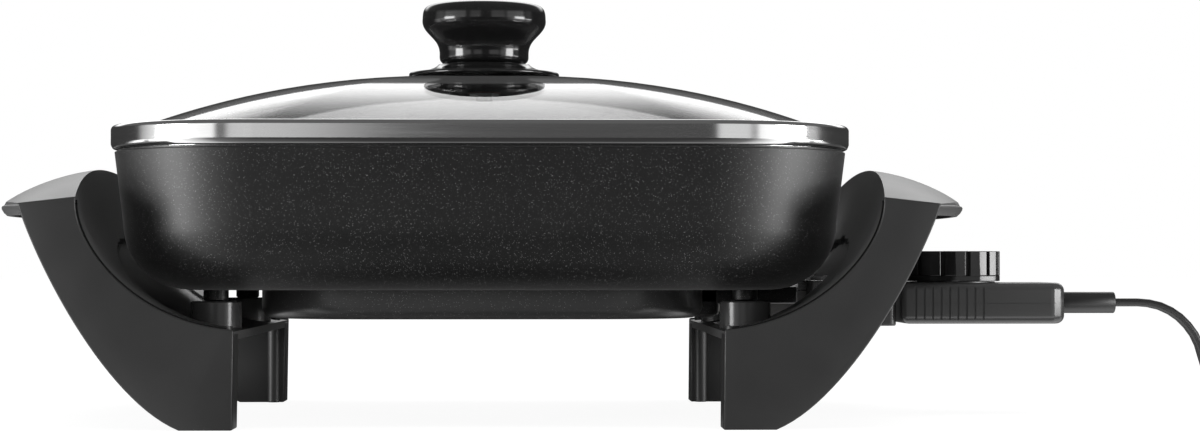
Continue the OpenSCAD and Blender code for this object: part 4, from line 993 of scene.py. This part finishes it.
skirt = shape("skirt", *skin(dial_rings(False, 0, SKIRT_H)), at=(PAN_X + DIAL_X, 0, DIAL_Z))
crest = shape("crest", *skin(dial_rings(True, SKIRT_H, DIAL_H)), at=(PAN_X + DIAL_X, 0, DIAL_Z))
dial = joined("dial_body", bevelled(skirt, 0.3, 2, 20), bevelled(crest, 0.3, 3, 20))
refine(dial.data, 12, merge=False)
fitted(dial, "dial_plastic", "dial_set", "dial")
marks = repeated("dial_marks", SPOKES, PRINT, MARKS, Radius=MARK_RING, Size=MARK_SIZE,
                 Place=(PAN_X + DIAL_X, 0, DIAL_Z + DIAL_H + 0.03))
fitted(marks, "dial_plastic", "dial_set", material=PRINT)
index = block("dial_index", *INDEX)
fitted(index, "control_plastic", "heat_control", material=PRINT)


# ---- Stage ----

def ray_kinds(tree):
    """1 for a ray that the camera sees, also through glass, and 1 for one that is mirrored."""
    rays = tree.nodes.new("ShaderNodeLightPath").outputs
    seen, glossy, through = (Val(tree, rays["Is " + kind + " Ray"])
                             for kind in ("Camera", "Glossy", "Transmission"))
    seen = (seen + through).clamp()
    return seen, glossy * (1 - seen)


# What metal and glass see of the studio: degrees to the right of the camera's side, and brightness
STUDIO = [
    (-180, 0.04), (-104, 0.06), (-97, 0.6), (-88, 0.9), (-82, 0.85), (-79, 0.6), (-75, 1.5),
    (-35, 1.5), (-32.5, 0.2), (-27, 0.2), (-23, 0.85), (-8, 0.9), (-6.3, 0.8), (-5.6, 0.6),
    (-4.9, 0.28), (-4.4, 0.13), (-3, 0.1), (13, 0.09), (16, 1), (38, 0.95), (40, 0.5), (44, 0.5),
    (46, 1.5), (79, 1.5), (82, 0.22), (86, 0.22), (89, 0.5), (97, 0.5), (104, 0.06), (180, 0.04),
]
# The same for what they see of the floor, beyond its nearest part
STUDIO_FLOOR = [
    (-180, 0.03), (-106, 0.06), (-94, 2), (-62, 1.9), (-40, 0.2), (-14, 0.05), (20, 0.05),
    (42, 0.2), (64, 2.1), (90, 2.1), (102, 0.06), (180, 0.03),
]
# Strips across the floor, in front of the object and under its front half: from and to which Y
# in metres, and how steeply they begin and end
STRIP_IN_FRONT, STRIP_UNDER = (-0.26, -0.13, 20, 40), (-0.105, -0.03, 50, 30)


def studio_walls(heading, stops):
    """Brightness of the studio in a vector's direction, and the vector's Y and Z."""
    east, north, height = (heading.make("ShaderNodeSeparateXYZ", {0: heading}, pick=k)
                           for k in range(3))
    turn = heading.maths("ARCTAN2", east, 0 - north) / math.tau + 0.5
    walls = turn.stepped([(angle / 360 + 0.5, brightness) for angle, brightness in stops])
    return walls, north, height


def between(value, low, high, rise, fall):
    """0 outside two values, and rising to 1 inside them."""
    return ((value - low) * rise).clamp() * ((high - value) * fall).clamp()


def studio_world():
    """White for the camera, the studio for what mirrors it, and plain light for the rest."""
    world = bpy.data.worlds.new("studio")
    world.use_nodes = True
    tree = world.node_tree
    heading = Val(tree, tree.nodes.new("ShaderNodeTexCoord").outputs["Generated"])
    walls, north, height = studio_walls(heading, STUDIO)
    above = ((height - 0.2) * 8).clamp()  # 0 for the walls and 1 for what is over them
    sky = 0.15 + 2.1 * ((north - 0.66) * 6).clamp()  # lit at the back
    seen, mirrored = ray_kinds(tree)
    others = (1 - (seen + mirrored).clamp()) * 0.55
    level = seen + mirrored * (walls * (1 - above) + sky * above) + others
    level.feed(tree.nodes["Background"].inputs["Color"], rgb(1))
    level.feed(tree.nodes["Background"].inputs["Strength"], level)
    return world


def floor_surface():
    """White paper that glows for the camera, with strips of light and a painted shadow round the
    pan for what mirrors it.
    """
    surface = bpy.data.materials.new("floor")
    surface.use_nodes = True
    tree = surface.node_tree
    tree.nodes.remove(tree.nodes["Principled BSDF"])
    seen, mirrored = ray_kinds(tree)
    spot = Val(tree, tree.nodes.new("ShaderNodeTexCoord").outputs["Object"])
    spot = spot.make("ShaderNodeVectorMath", {0: spot, 1: (-PAN_X * MM, 0, 0)}, operation="ADD")
    walls, north = studio_walls(spot, STUDIO_FLOOR)[:2]
    in_front, under = between(north, *STRIP_IN_FRONT), between(north, *STRIP_UNDER)
    reach = spot.make("ShaderNodeVectorMath", {0: spot}, pick="Value", operation="LENGTH")
    # Within 0.12 m of the pan's middle the floor gives mirrors no glow: a painted shadow of the pan
    outside = ((reach - 0.12) * 14).clamp()
    reflected = (walls + 0.16 * in_front) * outside * (1 - under) + under * 0.12
    others = (1 - (seen + mirrored).clamp()) * 0.7
    strength = seen * 1.15 + mirrored * reflected + others
    paper = seen.make("ShaderNodeBsdfDiffuse", {"Color": rgb(0.8)})
    glow = seen.make("ShaderNodeEmission", {"Color": rgb(1), "Strength": strength})
    both = seen.make("ShaderNodeMixShader",
                     {0: 0.4 + seen * 0.4 + mirrored * 0.6, 1: paper, 2: glow})
    seen.feed(tree.nodes["Material Output"].inputs["Surface"], both)
    return surface


scene.world = studio_world()
bpy.ops.mesh.primitive_plane_add(size=30)
floor = bpy.context.object
floor.name = "floor"
floor.data.materials.append(floor_surface())


def softbox(name, place, target, width, height, watts, mirrored=True):
    """An area lamp turned to a target, with sizes in metres."""
    light = bpy.data.lights.new(name, "AREA")
    light.shape, light.size, light.size_y, light.energy = "RECTANGLE", width, height, watts
    obj = bpy.data.objects.new(name, light)
    obj.location = place
    obj.rotation_euler = (Vector(target) - Vector(place)).to_track_quat("-Z", "Y").to_euler()
    obj.visible_glossy = mirrored
    scene.collection.objects.link(obj)


def round_about(azimuth, distance, z):
    """A place in metres, at degrees to the right of the camera's side of the pan."""
    a = math.radians(azimuth)
    return (PAN_X * MM + distance * math.sin(a), -distance * math.cos(a), z)


middle = (PAN_X * MM, 0, 0.12)
softbox("left_box", round_about(-66, 1.6, 0.2), middle, 0.6, 0.42, 12)
softbox("right_box", round_about(70, 1.6, 0.2), middle, 0.6, 0.42, 11)
softbox("side_box", (1.53, 0.05, 0.085), (0.22, 0, 0.08), 0.4, 0.07, 1.0)
softbox("top_box", (PAN_X * MM, -0.1, 1.5), middle, 1.9, 1.3, 22, mirrored=False)
softbox("front_fill", round_about(-6, 2.4, 0.25), middle, 2.2, 0.5, 7, mirrored=False)

scene.view_settings.view_transform = "Standard"

bpy.context.view_layer.update()
